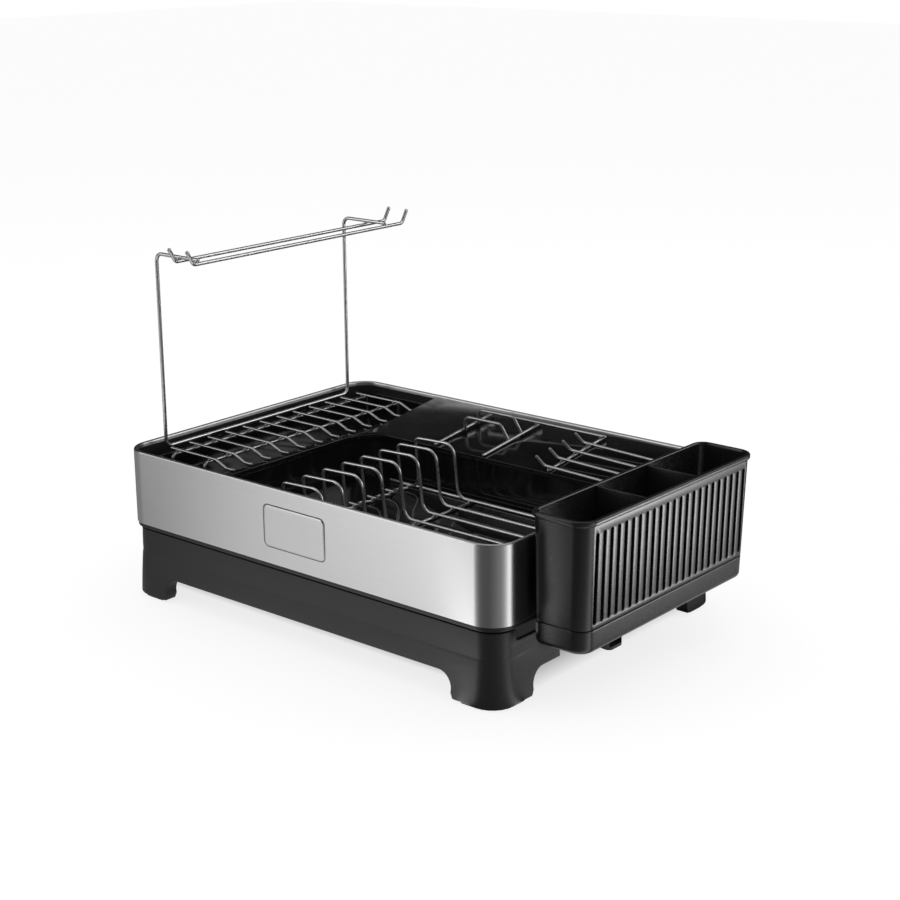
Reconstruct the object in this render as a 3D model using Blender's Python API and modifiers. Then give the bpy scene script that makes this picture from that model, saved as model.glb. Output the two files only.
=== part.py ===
"""Countertop dish drainer: a steel band round a black base on four corner legs, a glossy
liner with a well and two raised shelves, wire racks for plates, cups and glasses, a wire
holder for stemware, a swinging drain spout and a slotted caddy hooked over one end.

X runs along the front from left to right, Y from front to back, Z up. The origin is the
bottom centre of the whole drainer. Sizes are in metres."""
import math

import bmesh
import bpy
from mathutils import Matrix, Vector

MM = 0.001

# Common clearances and the fineness of round stretches
gap = 0.3 * MM
overrun = 6 * MM
merge_distance = 0.006 * MM
sharp_angle = 35
corner_steps = 6
bend_steps = 4
round_steps = 24

# Steel band
body_length = 450 * MM
body_width = 333 * MM
corner_radius = 25 * MM
band_bottom = 74 * MM
band_height = 71 * MM
band_gauge = 1.2 * MM
rim_width = 4 * MM
rim_drop = 4 * MM
rim_round = 1.5 * MM

# Bare badge plate on the front of the band
badge_left = 38 * MM
badge_length = 73.5 * MM
badge_height = 38.5 * MM
badge_above_band = 16 * MM
badge_corner = 5 * MM
badge_thickness = 0.6 * MM

# Base: rim ring with lip, collar and ledge, and below its groove the flared skirt with legs
lip_inset = 1 * MM
lip_height = 4 * MM
groove_inset = 6 * MM
groove_height = 2.5 * MM
collar_wall = 3 * MM
skirt_inset = 4 * MM
skirt_wall = 3 * MM
crease_height = 43 * MM
crease_inset = 3.4 * MM
foot_inset = 0.2 * MM
foot_depth = 14 * MM
arch_height = 25 * MM
arch_flange = 3 * MM
arch_lean = 6 * MM
arch_fillet = 12 * MM
leg_run_x = 47 * MM
leg_run_y = 46.5 * MM
upstand_wall = 2.5 * MM
ledge_reach = 23 * MM
ledge_wall = 3 * MM
ledge_rise = 2.7 * MM
vent_bottom = 57 * MM
vent_corner = 4.2 * MM
vent_from_end = 29 * MM

# Rubber pads under the legs
pad_thickness = 1.7 * MM
pad_width = 8 * MM
pad_line = 7.5 * MM
pad_margin = 6 * MM

# Liner: well in front, shelf for glasses on the left, rising shelf for cups at the back
liner_left_margin = 17.2 * MM
liner_right_margin = 9 * MM
liner_side_margin = 5 * MM
liner_corner = 14 * MM
liner_wall = 3 * MM
well_left = 109 * MM
cup_shelf_depth = 108.5 * MM
well_corner = 30 * MM
well_floor = 85.4 * MM
well_floor_wall = 2.5 * MM
glass_shelf_floor = 115 * MM
glass_shelf_lip = 131 * MM
glass_shelf_wall_top = 134 * MM
cup_shelf_front = 130 * MM
cup_shelf_back = 143.5 * MM
lip_thickness = 6 * MM
lip_overhang = 1.5 * MM
riser_drop = 20 * MM

# Outlet of the well and the spout that swings under it
outlet_from_right = 47 * MM
outlet_from_front = 114.5 * MM
outlet_bore = 12 * MM
outlet_wall = 1.5 * MM
outlet_drop = 9 * MM
boss_wall = 1.6 * MM
boss_drop = 6 * MM
bracket_half_width = 17 * MM
bracket_thickness = 3 * MM
spout_length = 84 * MM
spout_half_width = 11 * MM
spout_wall = 2 * MM
spout_ring_wall = 3.2 * MM
spout_throat_top = 66 * MM
spout_throat_bottom = 52 * MM
spout_knee_reach = 34 * MM
spout_knee_top = 49 * MM
spout_knee_bottom = 40 * MM
spout_tip_top = 43 * MM
spout_tip_bottom = 34 * MM
spout_swing_room = 16 * MM
doorway_headroom = 3.5 * MM

# Wires
frame_wire = 3.5 * MM
rack_wire = 3 * MM

# Stemware holder on the left end
stem_wire_x = 14.4 * MM
stem_foot_rise = 5 * MM
stem_top_height = 325 * MM
stem_from_front = 41.5 * MM
stem_from_back = 38.5 * MM
stem_arm = 58 * MM
stem_bend = 7 * MM
rail_1_from_post = 30.6 * MM
rail_2_from_post = 54.6 * MM
rail_from_front = 30.5 * MM
rail_from_back = 3.5 * MM
rail_tip_run = 7 * MM
rail_tip_rise = 13 * MM
rail_bend = 5 * MM
clip_length = 14 * MM
clip_depth = 9 * MM
clip_grip = 0.9 * MM
clip_spread = 60 * MM

# Plate rack in the well
loop_count = 8
loop_first = 28.9 * MM
loop_last = 15 * MM
loop_top = 140 * MM
loop_top_rise = 2 * MM
loop_floor = 90.5 * MM
loop_left = 187 * MM
loop_top_span = 47.6 * MM
loop_left_lean = 4.6 * MM
loop_right_lean = 6.5 * MM
loop_foot_run = 20 * MM
loop_tail = 198 * MM
loop_left_bend = 5 * MM
loop_right_bend = 12 * MM
loop_foot_bend = 10 * MM
cross_wire_x = 250 * MM
cross_wire_from_tail = 36 * MM
wave_offset = 14 * MM
wave_depth = 6 * MM
wave_steps_per_loop = 6
back_wire_offset = 9 * MM
back_wire_left = 45 * MM
back_wire_overhang = 6 * MM
cross_overhang = 8 * MM

# Cup rack on the rising shelf
cup_wire_1_x = 194 * MM
cup_wire_2_x = 253.5 * MM
cup_wire_3_x = 330.5 * MM
cup_wire_start = 1.5 * MM
cup_wire_length = 90.5 * MM
cup_tie_back = 6 * MM
cup_tie_overhang = 3 * MM
cup_peg_count = 4
cup_peg_first = 2.8 * MM
cup_peg_pitch = 20.6 * MM
cup_peg_x = 317 * MM
cup_peg_rise = 7 * MM
cup_peg_hook = 8 * MM
cup_peg_lift = 0.3 * MM
cup_peg_end = 428 * MM
cup_peg_bend = 6 * MM
cup_loop_count = 2
cup_loop_height = 11 * MM
cup_loop_lean = 8 * MM
cup_loop_foot = 1.2 * MM
cup_loop_bend = 7 * MM

# Glass rest on the left shelf
rest_count = 12
rest_first = 42 * MM
rest_last = 32.5 * MM
rest_left = 22 * MM
rest_plateau = 60 * MM
rest_fall = 14 * MM
rest_landing = 9 * MM
rest_bend = 7 * MM
rest_plateau_height = 138.6 * MM
rest_carrier_1 = 8 * MM
rest_carrier_2 = 52 * MM
rest_carrier_overhang = 7 * MM
rest_leg_bend = 5 * MM

# Caddy on the right end
caddy_gap = 3 * MM
caddy_depth = 55.7 * MM
caddy_front = 37.6 * MM
caddy_length = 252 * MM
caddy_bottom = 53.3 * MM
caddy_seam = 74 * MM
caddy_top = 168.7 * MM
caddy_draft = 2.7 * MM
caddy_inner_corner = 10 * MM
caddy_outer_corner = 14 * MM
caddy_wall = 2 * MM
caddy_floor = 2.5 * MM
caddy_lip_out = 2 * MM
caddy_lip_height = 5 * MM
caddy_lip_round = 0.8 * MM
cup_bottom_round = 5 * MM
slot_count = 23
slot_pitch = 10 * MM
slot_width = 4.4 * MM
slot_bottom = 78.5 * MM
slot_top = 157 * MM
drain_slot_count = 11
drain_slot_pitch = 20 * MM
drain_slot_width = 4 * MM
drain_slot_length = 34 * MM
divider_thickness = 1.8 * MM
divider_spread = 37.5 * MM
divider_below_top = 1.2 * MM
hook_thickness = 2.4 * MM
hook_plate = 3 * MM
hook_width = 26 * MM
hook_spread = 72 * MM
hook_inner_drop = 16 * MM
hook_outer_drop = 26 * MM

# Places that follow from the sizes
half_x = body_length / 2
half_y = body_width / 2
band_top = band_bottom + band_height
lip_top = band_bottom - gap
groove_top = lip_top - lip_height
skirt_top = groove_top - groove_height
upstand_inset = band_gauge + gap
upstand_top = band_top - rim_drop - gap
ledge_top = lip_top + ledge_rise
foot_bottom = pad_thickness + gap
liner_left = -half_x + liner_left_margin
liner_right = half_x - liner_right_margin
liner_back = half_y - liner_side_margin
liner_bottom = ledge_top + gap
well_left_x = -half_x + well_left
well_back_y = half_y - cup_shelf_depth
loop_pitch = (well_back_y + half_y - loop_first - loop_last) / (loop_count - 1)
rest_pitch = (body_width - rest_first - rest_last) / (rest_count - 1)
tray_top = glass_shelf_lip - lip_thickness - gap
stem_foot_height = glass_shelf_wall_top + stem_foot_rise
outlet_x = half_x - outlet_from_right
outlet_y = -half_y + outlet_from_front
outlet_radius = outlet_bore / 2
outlet_outer = outlet_radius + outlet_wall
boss_bore = outlet_outer + gap
boss_radius = boss_bore + boss_wall
ring_bore = boss_radius + gap
ring_radius = ring_bore + spout_ring_wall
ledge_bottom = ledge_top - ledge_wall
bracket_top = ledge_bottom - gap
bracket_bottom = bracket_top - bracket_thickness
caddy_left = half_x + caddy_gap
caddy_right = caddy_left + caddy_depth
caddy_near = -half_y + caddy_front
caddy_far = caddy_near + caddy_length
caddy_centre = (caddy_near + caddy_far) / 2
badge_proud = badge_thickness + gap
shift_x = -(caddy_right + caddy_lip_out - half_x) / 2
shift_y = badge_proud / 2


def clear_scene():
    for thing in list(bpy.data.objects):
        bpy.data.objects.remove(thing)


def new_collection(name):
    collection = bpy.data.collections.new(name)
    bpy.context.scene.collection.children.link(collection)
    return collection


def new_material(name, colour, roughness, metallic):
    material = bpy.data.materials.new(name)
    material.use_nodes = True
    shader = material.node_tree.nodes["Principled BSDF"]
    shader.inputs["Base Color"].default_value = (*colour, 1.0)
    shader.inputs["Roughness"].default_value = roughness
    shader.inputs["Metallic"].default_value = metallic
    material.diffuse_color = (*colour, 1.0)
    return material


def new_object(name, data, collection):
    thing = bpy.data.objects.new(name, data)
    collection.objects.link(thing)
    return thing


def new_empty(name, place, parent=None):
    """A moving body's empty stands on the axis of its joint."""
    empty = new_object(name, None, bpy.context.scene.collection)
    empty.location = place
    empty.parent = parent
    return empty


def corner_arc(before, corner, after, radius, steps):
    """Points of the arc that rounds one corner, or the corner alone where it is sharp."""
    if radius == 0:
        return [corner]
    back = (before - corner).normalized()
    ahead = (after - corner).normalized()
    half_angle = back.angle(ahead) / 2
    centre = corner + (back + ahead).normalized() * radius / math.sin(half_angle)
    start = corner + back * radius / math.tan(half_angle) - centre
    end = corner + ahead * radius / math.tan(half_angle) - centre
    return [centre + start.slerp(end, step / steps).normalized() * radius for step in range(steps + 1)]


def bent_path(corners, radius, steps=bend_steps):
    """The line of a wire through its corners, each bent to one radius or to its own."""
    corners = [Vector(corner) for corner in corners]
    radii = radius if isinstance(radius, (list, tuple)) else [radius] * (len(corners) - 2)
    points = [corners[0]]
    for index in range(1, len(corners) - 1):
        points += corner_arc(*corners[index - 1:index + 2], radii[index - 1], steps)
    return points + [corners[-1]]


def rounded_outline(corners):
    """A closed outline from (across, up, radius) corners, in turn."""
    places = [Vector((corner[0], corner[1], 0)) for corner in corners]
    outline = []
    for index, corner in enumerate(corners):
        after = places[(index + 1) % len(places)]
        outline += corner_arc(places[index - 1], places[index], after, corner[2], corner_steps)
    return [(point.x, point.y) for point in outline]


def rectangle(left, right, low, high, *radii):
    """A rectangle with one radius for all corners, or four from the low left corner round."""
    radii = radii * 4 if len(radii) == 1 else radii
    places = ((left, low), (right, low), (right, high), (left, high))
    return rounded_outline([(*place, radius) for place, radius in zip(places, radii)])


def circle(x, y, radius):
    turns = [2 * math.pi * step / round_steps for step in range(round_steps)]
    return [(x + radius * math.cos(turn), y + radius * math.sin(turn)) for turn in turns]


def new_curve(name, points, closed, flat):
    curve = bpy.data.curves.new(name, "CURVE")
    curve.dimensions = "2D" if flat else "3D"
    spline = curve.splines.new("POLY")
    spline.points.add(len(points) - 1)
    for target, point in zip(spline.points, points):
        target.co = (*point, 0.0, 1.0) if len(point) == 2 else (*point, 1.0)
    spline.use_cyclic_u = closed
    return curve


def closed_mesh(curve_object, turn=Matrix()):
    """Turns a curve object into a closed mesh and removes the curve."""
    bpy.context.view_layer.update()
    depsgraph = bpy.context.evaluated_depsgraph_get()
    mesh = bpy.data.meshes.new_from_object(curve_object.evaluated_get(depsgraph), depsgraph=depsgraph)
    mesh.transform(turn)
    shape = bmesh.new()
    shape.from_mesh(mesh)
    bmesh.ops.remove_doubles(shape, verts=shape.verts, dist=merge_distance)
    bmesh.ops.recalc_face_normals(shape, faces=shape.faces)
    shape.to_mesh(mesh)
    shape.free()
    bpy.data.objects.remove(curve_object)
    return mesh


def slab(name, outline, start, end, plane, collection):
    """A flat outline in plane XY, XZ or YZ, thickened from start to end across it."""
    axes = {"XY": ((1, 0, 0), (0, 1, 0), (0, 0, 1)),
            "XZ": ((1, 0, 0), (0, 0, 1), (0, -1, 0)),
            "YZ": ((0, 1, 0), (0, 0, 1), (1, 0, 0))}[plane]
    turn = Matrix(axes).transposed().to_4x4()
    middle = (start + end) / 2
    turn.translation = Vector(axes[2]) * (-middle if plane == "XZ" else middle)
    curve = new_curve(name, outline, True, True)
    curve.fill_mode = "BOTH"
    curve.extrude = (end - start) / 2
    mesh = closed_mesh(new_object(name, curve, collection), turn)
    return new_object(name, mesh, collection)


def sweep(name, path, closed, section, height, collection):
    """A section of (offset, height) points carried along a flat path."""
    guide = new_object(name + "_section", new_curve(name, section, True, True), collection)
    track = new_object(name, new_curve(name, path, closed, True), collection)
    track.data.bevel_mode = "OBJECT"
    track.data.bevel_object = guide
    track.data.use_fill_caps = not closed
    mesh = closed_mesh(track, Matrix.Translation((0, 0, height)))
    bpy.data.objects.remove(guide)
    return new_object(name, mesh, collection)


def loft(name, rings, collection):
    """A skin over rings of equally many points, closed at both ends."""
    shape = bmesh.new()
    rows = [[shape.verts.new(point) for point in ring] for ring in rings]
    for lower, upper in zip(rows, rows[1:]):
        for index in range(len(lower)):
            shape.faces.new((lower[index - 1], lower[index], upper[index], upper[index - 1]))
    shape.faces.new(rows[0])
    shape.faces.new(rows[-1])
    bmesh.ops.recalc_face_normals(shape, faces=shape.faces)
    mesh = bpy.data.meshes.new(name)
    shape.to_mesh(mesh)
    shape.free()
    return new_object(name, mesh, collection)


def wire(name, points, diameter, collection):
    curve = new_curve(name, points, False, False)
    curve.bevel_depth = diameter / 2
    curve.bevel_resolution = 2
    curve.use_fill_caps = True
    return new_object(name, curve, collection)


def combine(target, tool, operation):
    """Cuts, joins or keeps what two solids share, with the tool kept as a guide."""
    for collection in list(tool.users_collection):
        collection.objects.unlink(tool)
    cutters.objects.link(tool)
    tool.hide_render = True
    tool.display_type = "WIRE"
    modifier = target.modifiers.new(tool.name, "BOOLEAN")
    modifier.operation = operation
    modifier.solver = "EXACT"
    modifier.object = tool


def finish(thing, material, parent, place=(0, 0, 0)):
    thing.data.materials.clear()
    thing.data.materials.append(material)
    if thing.type == "MESH":
        thing.data.shade_smooth()
        thing.data.set_sharp_from_angle(angle=math.radians(sharp_angle))
    thing.parent = parent
    thing.location = place
    for modifier in thing.modifiers:
        modifier.object.parent = parent
        modifier.object.location = place
    return thing


def body_outline():
    """The band's outer outline seen from above, counterclockwise."""
    return rectangle(-half_x, half_x, -half_y, half_y, corner_radius)


def make_band():
    section = [(0, band_bottom), (0, band_top - rim_round), (rim_round, band_top),
               (rim_width, band_top), (rim_width, band_top - rim_drop),
               (rim_width - band_gauge, band_top - rim_drop),
               (rim_width - band_gauge, band_top - band_gauge),
               (band_gauge + rim_round, band_top - band_gauge),
               (band_gauge, band_top - band_gauge - rim_round), (band_gauge, band_bottom)]
    band = sweep("steel_band", body_outline(), True, section, 0, parts)
    finish(band, steel, base_body)


def make_badge():
    low = band_bottom + badge_above_band
    outline = rectangle(-badge_left, -badge_left + badge_length, low, low + badge_height, badge_corner)
    face = -half_y - gap
    badge = slab("badge_plate", outline, face - badge_thickness, face, "XZ", parts)
    finish(badge, steel, base_body)


def arch(name, half_span, axis_plane, reach):
    """The opening between two legs, with leaning sides and rounded upper corners."""
    top = half_span - arch_lean
    outline = rounded_outline([(-half_span, -overrun, 0), (half_span, -overrun, 0), (half_span, 0, 0),
                               (top, arch_height, arch_fillet), (-top, arch_height, arch_fillet),
                               (-half_span, 0, 0)])
    return slab(name, outline, -reach, reach, axis_plane, cutters)


def make_base_rim():
    """The ring that holds the band: lip, lining up to the band's hem, ledge and collar."""
    section = [(lip_inset, groove_top), (lip_inset, lip_top), (upstand_inset, lip_top),
               (upstand_inset, upstand_top), (upstand_inset + upstand_wall, upstand_top),
               (upstand_inset + upstand_wall, ledge_top), (ledge_reach, ledge_top),
               (ledge_reach, ledge_bottom), (groove_inset + collar_wall, ledge_bottom),
               (groove_inset + collar_wall, skirt_top + gap), (groove_inset, skirt_top + gap),
               (groove_inset, groove_top)]
    rim = sweep("base_rim", body_outline(), True, section, 0, parts)
    finish(rim, base_plastic, base_body)


def make_base_skirt():
    """The flared skirt with its corner legs, a long notch in its right end and a doorway."""
    inner = skirt_inset + skirt_wall
    flange = groove_inset + collar_wall
    section = [(skirt_inset, skirt_top), (crease_inset, crease_height), (foot_inset, foot_bottom),
               (foot_depth, foot_bottom), (foot_depth, arch_height + arch_flange),
               (inner, arch_height + arch_flange), (inner, skirt_top - skirt_wall * 2),
               (flange, skirt_top - skirt_wall), (flange, skirt_top)]
    skirt = sweep("base_skirt", body_outline(), True, section[::-1], 0, parts)
    combine(skirt, arch("front_and_back_arches", half_x - leg_run_x, "XZ", half_y + overrun), "DIFFERENCE")
    combine(skirt, arch("end_arches", half_y - leg_run_y, "YZ", half_x + overrun), "DIFFERENCE")
    vent_half = half_y - vent_from_end
    vent = slab("end_vent", rectangle(-vent_half, vent_half, vent_bottom, skirt_top + overrun,
                                      vent_corner, vent_corner, 0, 0),
                half_x - foot_depth, half_x + overrun, "YZ", cutters)
    combine(skirt, vent, "DIFFERENCE")
    room = spout_half_width + spout_swing_room
    doorway = slab("spout_doorway", rectangle(outlet_y - room, outlet_y + room, foot_bottom,
                                              spout_knee_top + doorway_headroom, 0),
                   half_x - foot_depth - overrun, half_x + overrun, "YZ", cutters)
    combine(skirt, doorway, "DIFFERENCE")
    finish(skirt, base_plastic, base_body)


def make_spout_bracket():
    """A plate under the ledge whose boss takes the outlet and carries the spout's ring."""
    bracket = slab("spout_bracket",
                   rectangle(outlet_x - bracket_half_width, half_x - groove_inset - collar_wall - gap,
                             outlet_y - bracket_half_width, outlet_y + bracket_half_width,
                             bracket_half_width / 2, 0, 0, bracket_half_width / 2),
                   bracket_bottom, bracket_top, "XY", parts)
    boss = slab("spout_boss", circle(outlet_x, outlet_y, boss_radius), bracket_bottom - boss_drop,
                bracket_bottom + bracket_thickness / 2, "XY", cutters)
    combine(bracket, boss, "UNION")
    bore = slab("spout_boss_bore", circle(outlet_x, outlet_y, boss_bore),
                bracket_bottom - boss_drop - overrun, bracket_top + overrun, "XY", cutters)
    combine(bracket, bore, "DIFFERENCE")
    finish(bracket, base_plastic, base_body)


def make_pads():
    """A strip of rubber bent round the bottom of each corner leg."""
    section = [(-pad_width / 2, 0), (pad_width / 2, 0), (pad_width / 2, pad_thickness),
               (-pad_width / 2, pad_thickness)]
    corner = Vector((half_x - pad_line, half_y - pad_line, 0))
    path = bent_path([corner - Vector((leg_run_x - pad_line - pad_margin, 0, 0)), corner,
                      corner - Vector((0, leg_run_y - pad_line - pad_margin, 0))],
                     corner_radius - pad_line, corner_steps)
    sides = ((-1, -1), (1, -1), (1, 1), (-1, 1))
    for number, (side_x, side_y) in enumerate(sides, 1):
        track = [(point.x * side_x, point.y * side_y) for point in path]
        pad = sweep(f"foot_pad_{number}", track, False, section, 0, parts)
        finish(pad, rubber, base_body)


def liner_plan(name, low, high):
    return slab(name, rectangle(liner_left, liner_right, -liner_back, liner_back, liner_corner),
                low, high, "XY", cutters)


def make_tray():
    """The well: walls under the shelves' lips, a floor, and an outlet nozzle."""
    wall = liner_wall
    left = well_left_x - lip_overhang - wall
    back = well_back_y + lip_overhang + wall
    corner = well_corner + lip_overhang
    tray = slab("drain_tray", rectangle(left, liner_right, -liner_back, back,
                                        liner_corner, liner_corner, wall, corner + wall),
                liner_bottom, tray_top, "XY", parts)
    well = slab("well_room", rectangle(left + wall, liner_right - wall, wall - liner_back, back - wall,
                                       liner_corner - wall, liner_corner - wall, wall, corner),
                well_floor, tray_top + overrun, "XY", cutters)
    combine(tray, well, "DIFFERENCE")
    under = slab("tray_underside", rectangle(left + wall, liner_right - wall, wall - liner_back,
                                             back - wall, liner_corner - wall, liner_corner - wall,
                                             wall, corner),
                 liner_bottom - overrun, well_floor - well_floor_wall, "XY", cutters)
    combine(tray, under, "DIFFERENCE")
    nozzle = slab("outlet_nozzle", circle(outlet_x, outlet_y, outlet_outer),
                  liner_bottom - outlet_drop, well_floor - well_floor_wall / 2, "XY", cutters)
    combine(tray, nozzle, "UNION")
    bore = slab("outlet_bore", circle(outlet_x, outlet_y, outlet_radius),
                liner_bottom - outlet_drop - overrun, well_floor + overrun, "XY", cutters)
    combine(tray, bore, "DIFFERENCE")
    finish(tray, liner_plastic, liner_body)


def make_glass_shelf():
    """A trough along the left side whose lip overhangs the well."""
    riser = well_left_x - lip_overhang - liner_wall - gap
    lip_low = glass_shelf_lip - lip_thickness
    outline = [(liner_left, liner_bottom), (riser, liner_bottom), (riser, lip_low),
               (well_left_x, lip_low), (well_left_x, glass_shelf_lip),
               (riser - liner_wall, glass_shelf_lip),
               (riser - liner_corner, glass_shelf_wall_top), (liner_left, glass_shelf_wall_top)]
    shelf = slab("glass_shelf", outline, -liner_back, liner_back, "XZ", parts)
    trough_high = glass_shelf_wall_top + overrun
    trough = slab("trough_room", rectangle(liner_left + liner_wall, riser - liner_wall,
                                           glass_shelf_floor, trough_high, 0),
                  liner_wall - liner_back, liner_back - liner_wall, "XZ", cutters)
    combine(shelf, trough, "DIFFERENCE")
    under = slab("glass_shelf_underside", rectangle(liner_left + liner_wall, riser + overrun,
                                                    liner_bottom - overrun,
                                                    glass_shelf_floor - liner_wall, 0),
                 liner_wall - liner_back, liner_back - liner_wall, "XZ", cutters)
    combine(shelf, under, "DIFFERENCE")
    combine(shelf, liner_plan("glass_shelf_plan", liner_bottom - overrun, trough_high), "INTERSECT")
    finish(shelf, liner_plastic, liner_body)


def make_cup_shelf():
    """A shelf along the back that rises to the rim, with a lip over the well."""
    riser = well_back_y + lip_overhang + liner_wall + gap
    lip_low = tray_top + gap
    rise = (cup_shelf_back - cup_shelf_front) / (liner_back - well_back_y)
    left = well_left_x + gap

    def under_surface(y):
        return cup_shelf_front + rise * (y - well_back_y) - liner_wall

    outline = [(well_back_y, lip_low), (riser, lip_low), (riser, lip_low - riser_drop),
               (riser + liner_wall, lip_low - riser_drop),
               (riser + liner_wall, liner_bottom), (liner_back, liner_bottom),
               (liner_back, cup_shelf_back), (well_back_y, cup_shelf_front)]
    shelf = slab("cup_shelf", outline, left, liner_right, "YZ", parts)
    room = [(riser + liner_wall, liner_bottom - overrun),
            (liner_back - liner_wall, liner_bottom - overrun),
            (liner_back - liner_wall, under_surface(liner_back - liner_wall)),
            (riser + liner_wall, under_surface(riser + liner_wall))]
    under = slab("cup_shelf_underside", room, left + liner_wall, liner_right - liner_wall, "YZ", cutters)
    combine(shelf, under, "DIFFERENCE")
    corner = [(left, well_back_y + gap, 0), (left, well_back_y - well_corner, 0)]
    turn = corner_arc(Vector((left, well_back_y - well_corner * 2, 0)),
                      Vector((left, well_back_y, 0)),
                      Vector((left + well_corner * 2, well_back_y, 0)), well_corner, corner_steps)
    gusset_outline = [place[:2] for place in corner] + [(point.x, point.y) for point in turn[1:]]
    gusset_outline.append((left + well_corner, well_back_y + gap))
    gusset = slab("corner_gusset", gusset_outline, lip_low, cup_shelf_front, "XY", cutters)
    combine(shelf, gusset, "UNION")
    combine(shelf, liner_plan("cup_shelf_plan", liner_bottom - overrun, cup_shelf_back + overrun),
            "INTERSECT")
    finish(shelf, liner_plastic, liner_body)


def make_spout():
    """An open channel that hangs on the boss by a ring and falls towards its tip."""
    half = spout_half_width
    outline = [(-ring_radius, spout_throat_bottom), (0, spout_throat_bottom),
               (spout_knee_reach, spout_knee_bottom), (spout_length, spout_tip_bottom),
               (spout_length, spout_tip_top), (spout_knee_reach, spout_knee_top),
               (ring_radius, spout_throat_top), (-ring_radius, spout_throat_top)]
    spout = slab("drain_spout", outline, -half, half, "XZ", parts)
    nose = slab("spout_plan", rectangle(-ring_radius, spout_length, -half, half,
                                        half - gap, half / 2, half / 2, half - gap),
                spout_tip_bottom - overrun, spout_throat_top + overrun, "XY", cutters)
    combine(spout, nose, "INTERSECT")
    ring_top = bracket_bottom - gap
    ring = slab("spout_ring", circle(0, 0, ring_radius), spout_throat_bottom, ring_top, "XY", cutters)
    combine(spout, ring, "UNION")
    wall = spout_wall
    floor_rise = (spout_knee_bottom - spout_throat_bottom) / spout_knee_reach
    channel = [(0, spout_throat_bottom + wall), (0, ring_top + overrun),
               (spout_length + overrun, ring_top + overrun),
               (spout_length + overrun, spout_tip_bottom + wall),
               (spout_knee_reach, spout_knee_bottom + wall)]
    trough = slab("spout_channel", channel, wall - half, half - wall, "XZ", cutters)
    combine(spout, trough, "DIFFERENCE")
    top_ring = slab("spout_ring_top", circle(0, 0, ring_radius), bracket_bottom - boss_drop,
                    ring_top, "XY", cutters)
    combine(spout, top_ring, "UNION")
    well = slab("spout_ring_room", circle(0, 0, ring_bore), spout_throat_bottom + wall,
                ring_top + overrun, "XY", cutters)
    combine(spout, well, "DIFFERENCE")
    finish(spout, base_plastic, spout_body)


def make_stemware_holder():
    """One bent wire for posts, foot and arms, and two rails under the arms."""
    x = -half_x + stem_wire_x
    near = -half_y + stem_from_front
    far = half_y - stem_from_back
    arm = x + stem_arm
    frame = wire("stemware_frame",
                 bent_path([(arm, near, stem_top_height), (x, near, stem_top_height),
                            (x, near, stem_foot_height), (x, far, stem_foot_height),
                            (x, far, stem_top_height), (arm, far, stem_top_height)], stem_bend),
                 frame_wire, parts)
    finish(frame, chrome, stemware_body)
    start = -half_y + rail_from_front
    end = half_y - rail_from_back
    rail_height = stem_top_height - frame_wire - gap
    path = bent_path([(0, start, rail_height + rail_tip_rise), (0, start + rail_tip_run, rail_height),
                      (0, end - rail_tip_run, rail_height), (0, end, rail_height + rail_tip_rise)],
                     rail_bend)
    for number, offset in enumerate((rail_1_from_post, rail_2_from_post), 1):
        rail = wire(f"stemware_rail_{number}", path, frame_wire, parts)
        finish(rail, chrome, stemware_body, (x + offset, 0, 0))


def make_stemware_clips():
    """Two cradles on the liner's left wall that the holder's foot drops into."""
    x = -half_x + stem_wire_x
    seat = frame_wire / 2 + gap
    left = x - seat - clip_grip
    right = liner_left - gap
    top = stem_foot_height + frame_wire / 4
    outline = rectangle(left, right, top - clip_depth, top, 0)
    groove_points = circle(x, stem_foot_height, seat)
    for number, side in enumerate((-1, 1), 1):
        place = side * clip_spread
        clip = slab(f"stemware_clip_{number}", outline, place - clip_length / 2, place + clip_length / 2,
                    "XZ", parts)
        groove = slab(f"clip_groove_{number}", groove_points, place - clip_length, place + clip_length,
                      "XZ", cutters)
        combine(clip, groove, "DIFFERENCE")
        mouth = slab(f"clip_mouth_{number}", rectangle(x - seat, x + seat, stem_foot_height,
                                                       top + overrun, 0),
                     place - clip_length, place + clip_length, "XZ", cutters)
        combine(clip, mouth, "DIFFERENCE")
        finish(clip, liner_plastic, liner_body)


def loop_y(index):
    return -half_y + loop_first + loop_pitch * index


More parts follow.
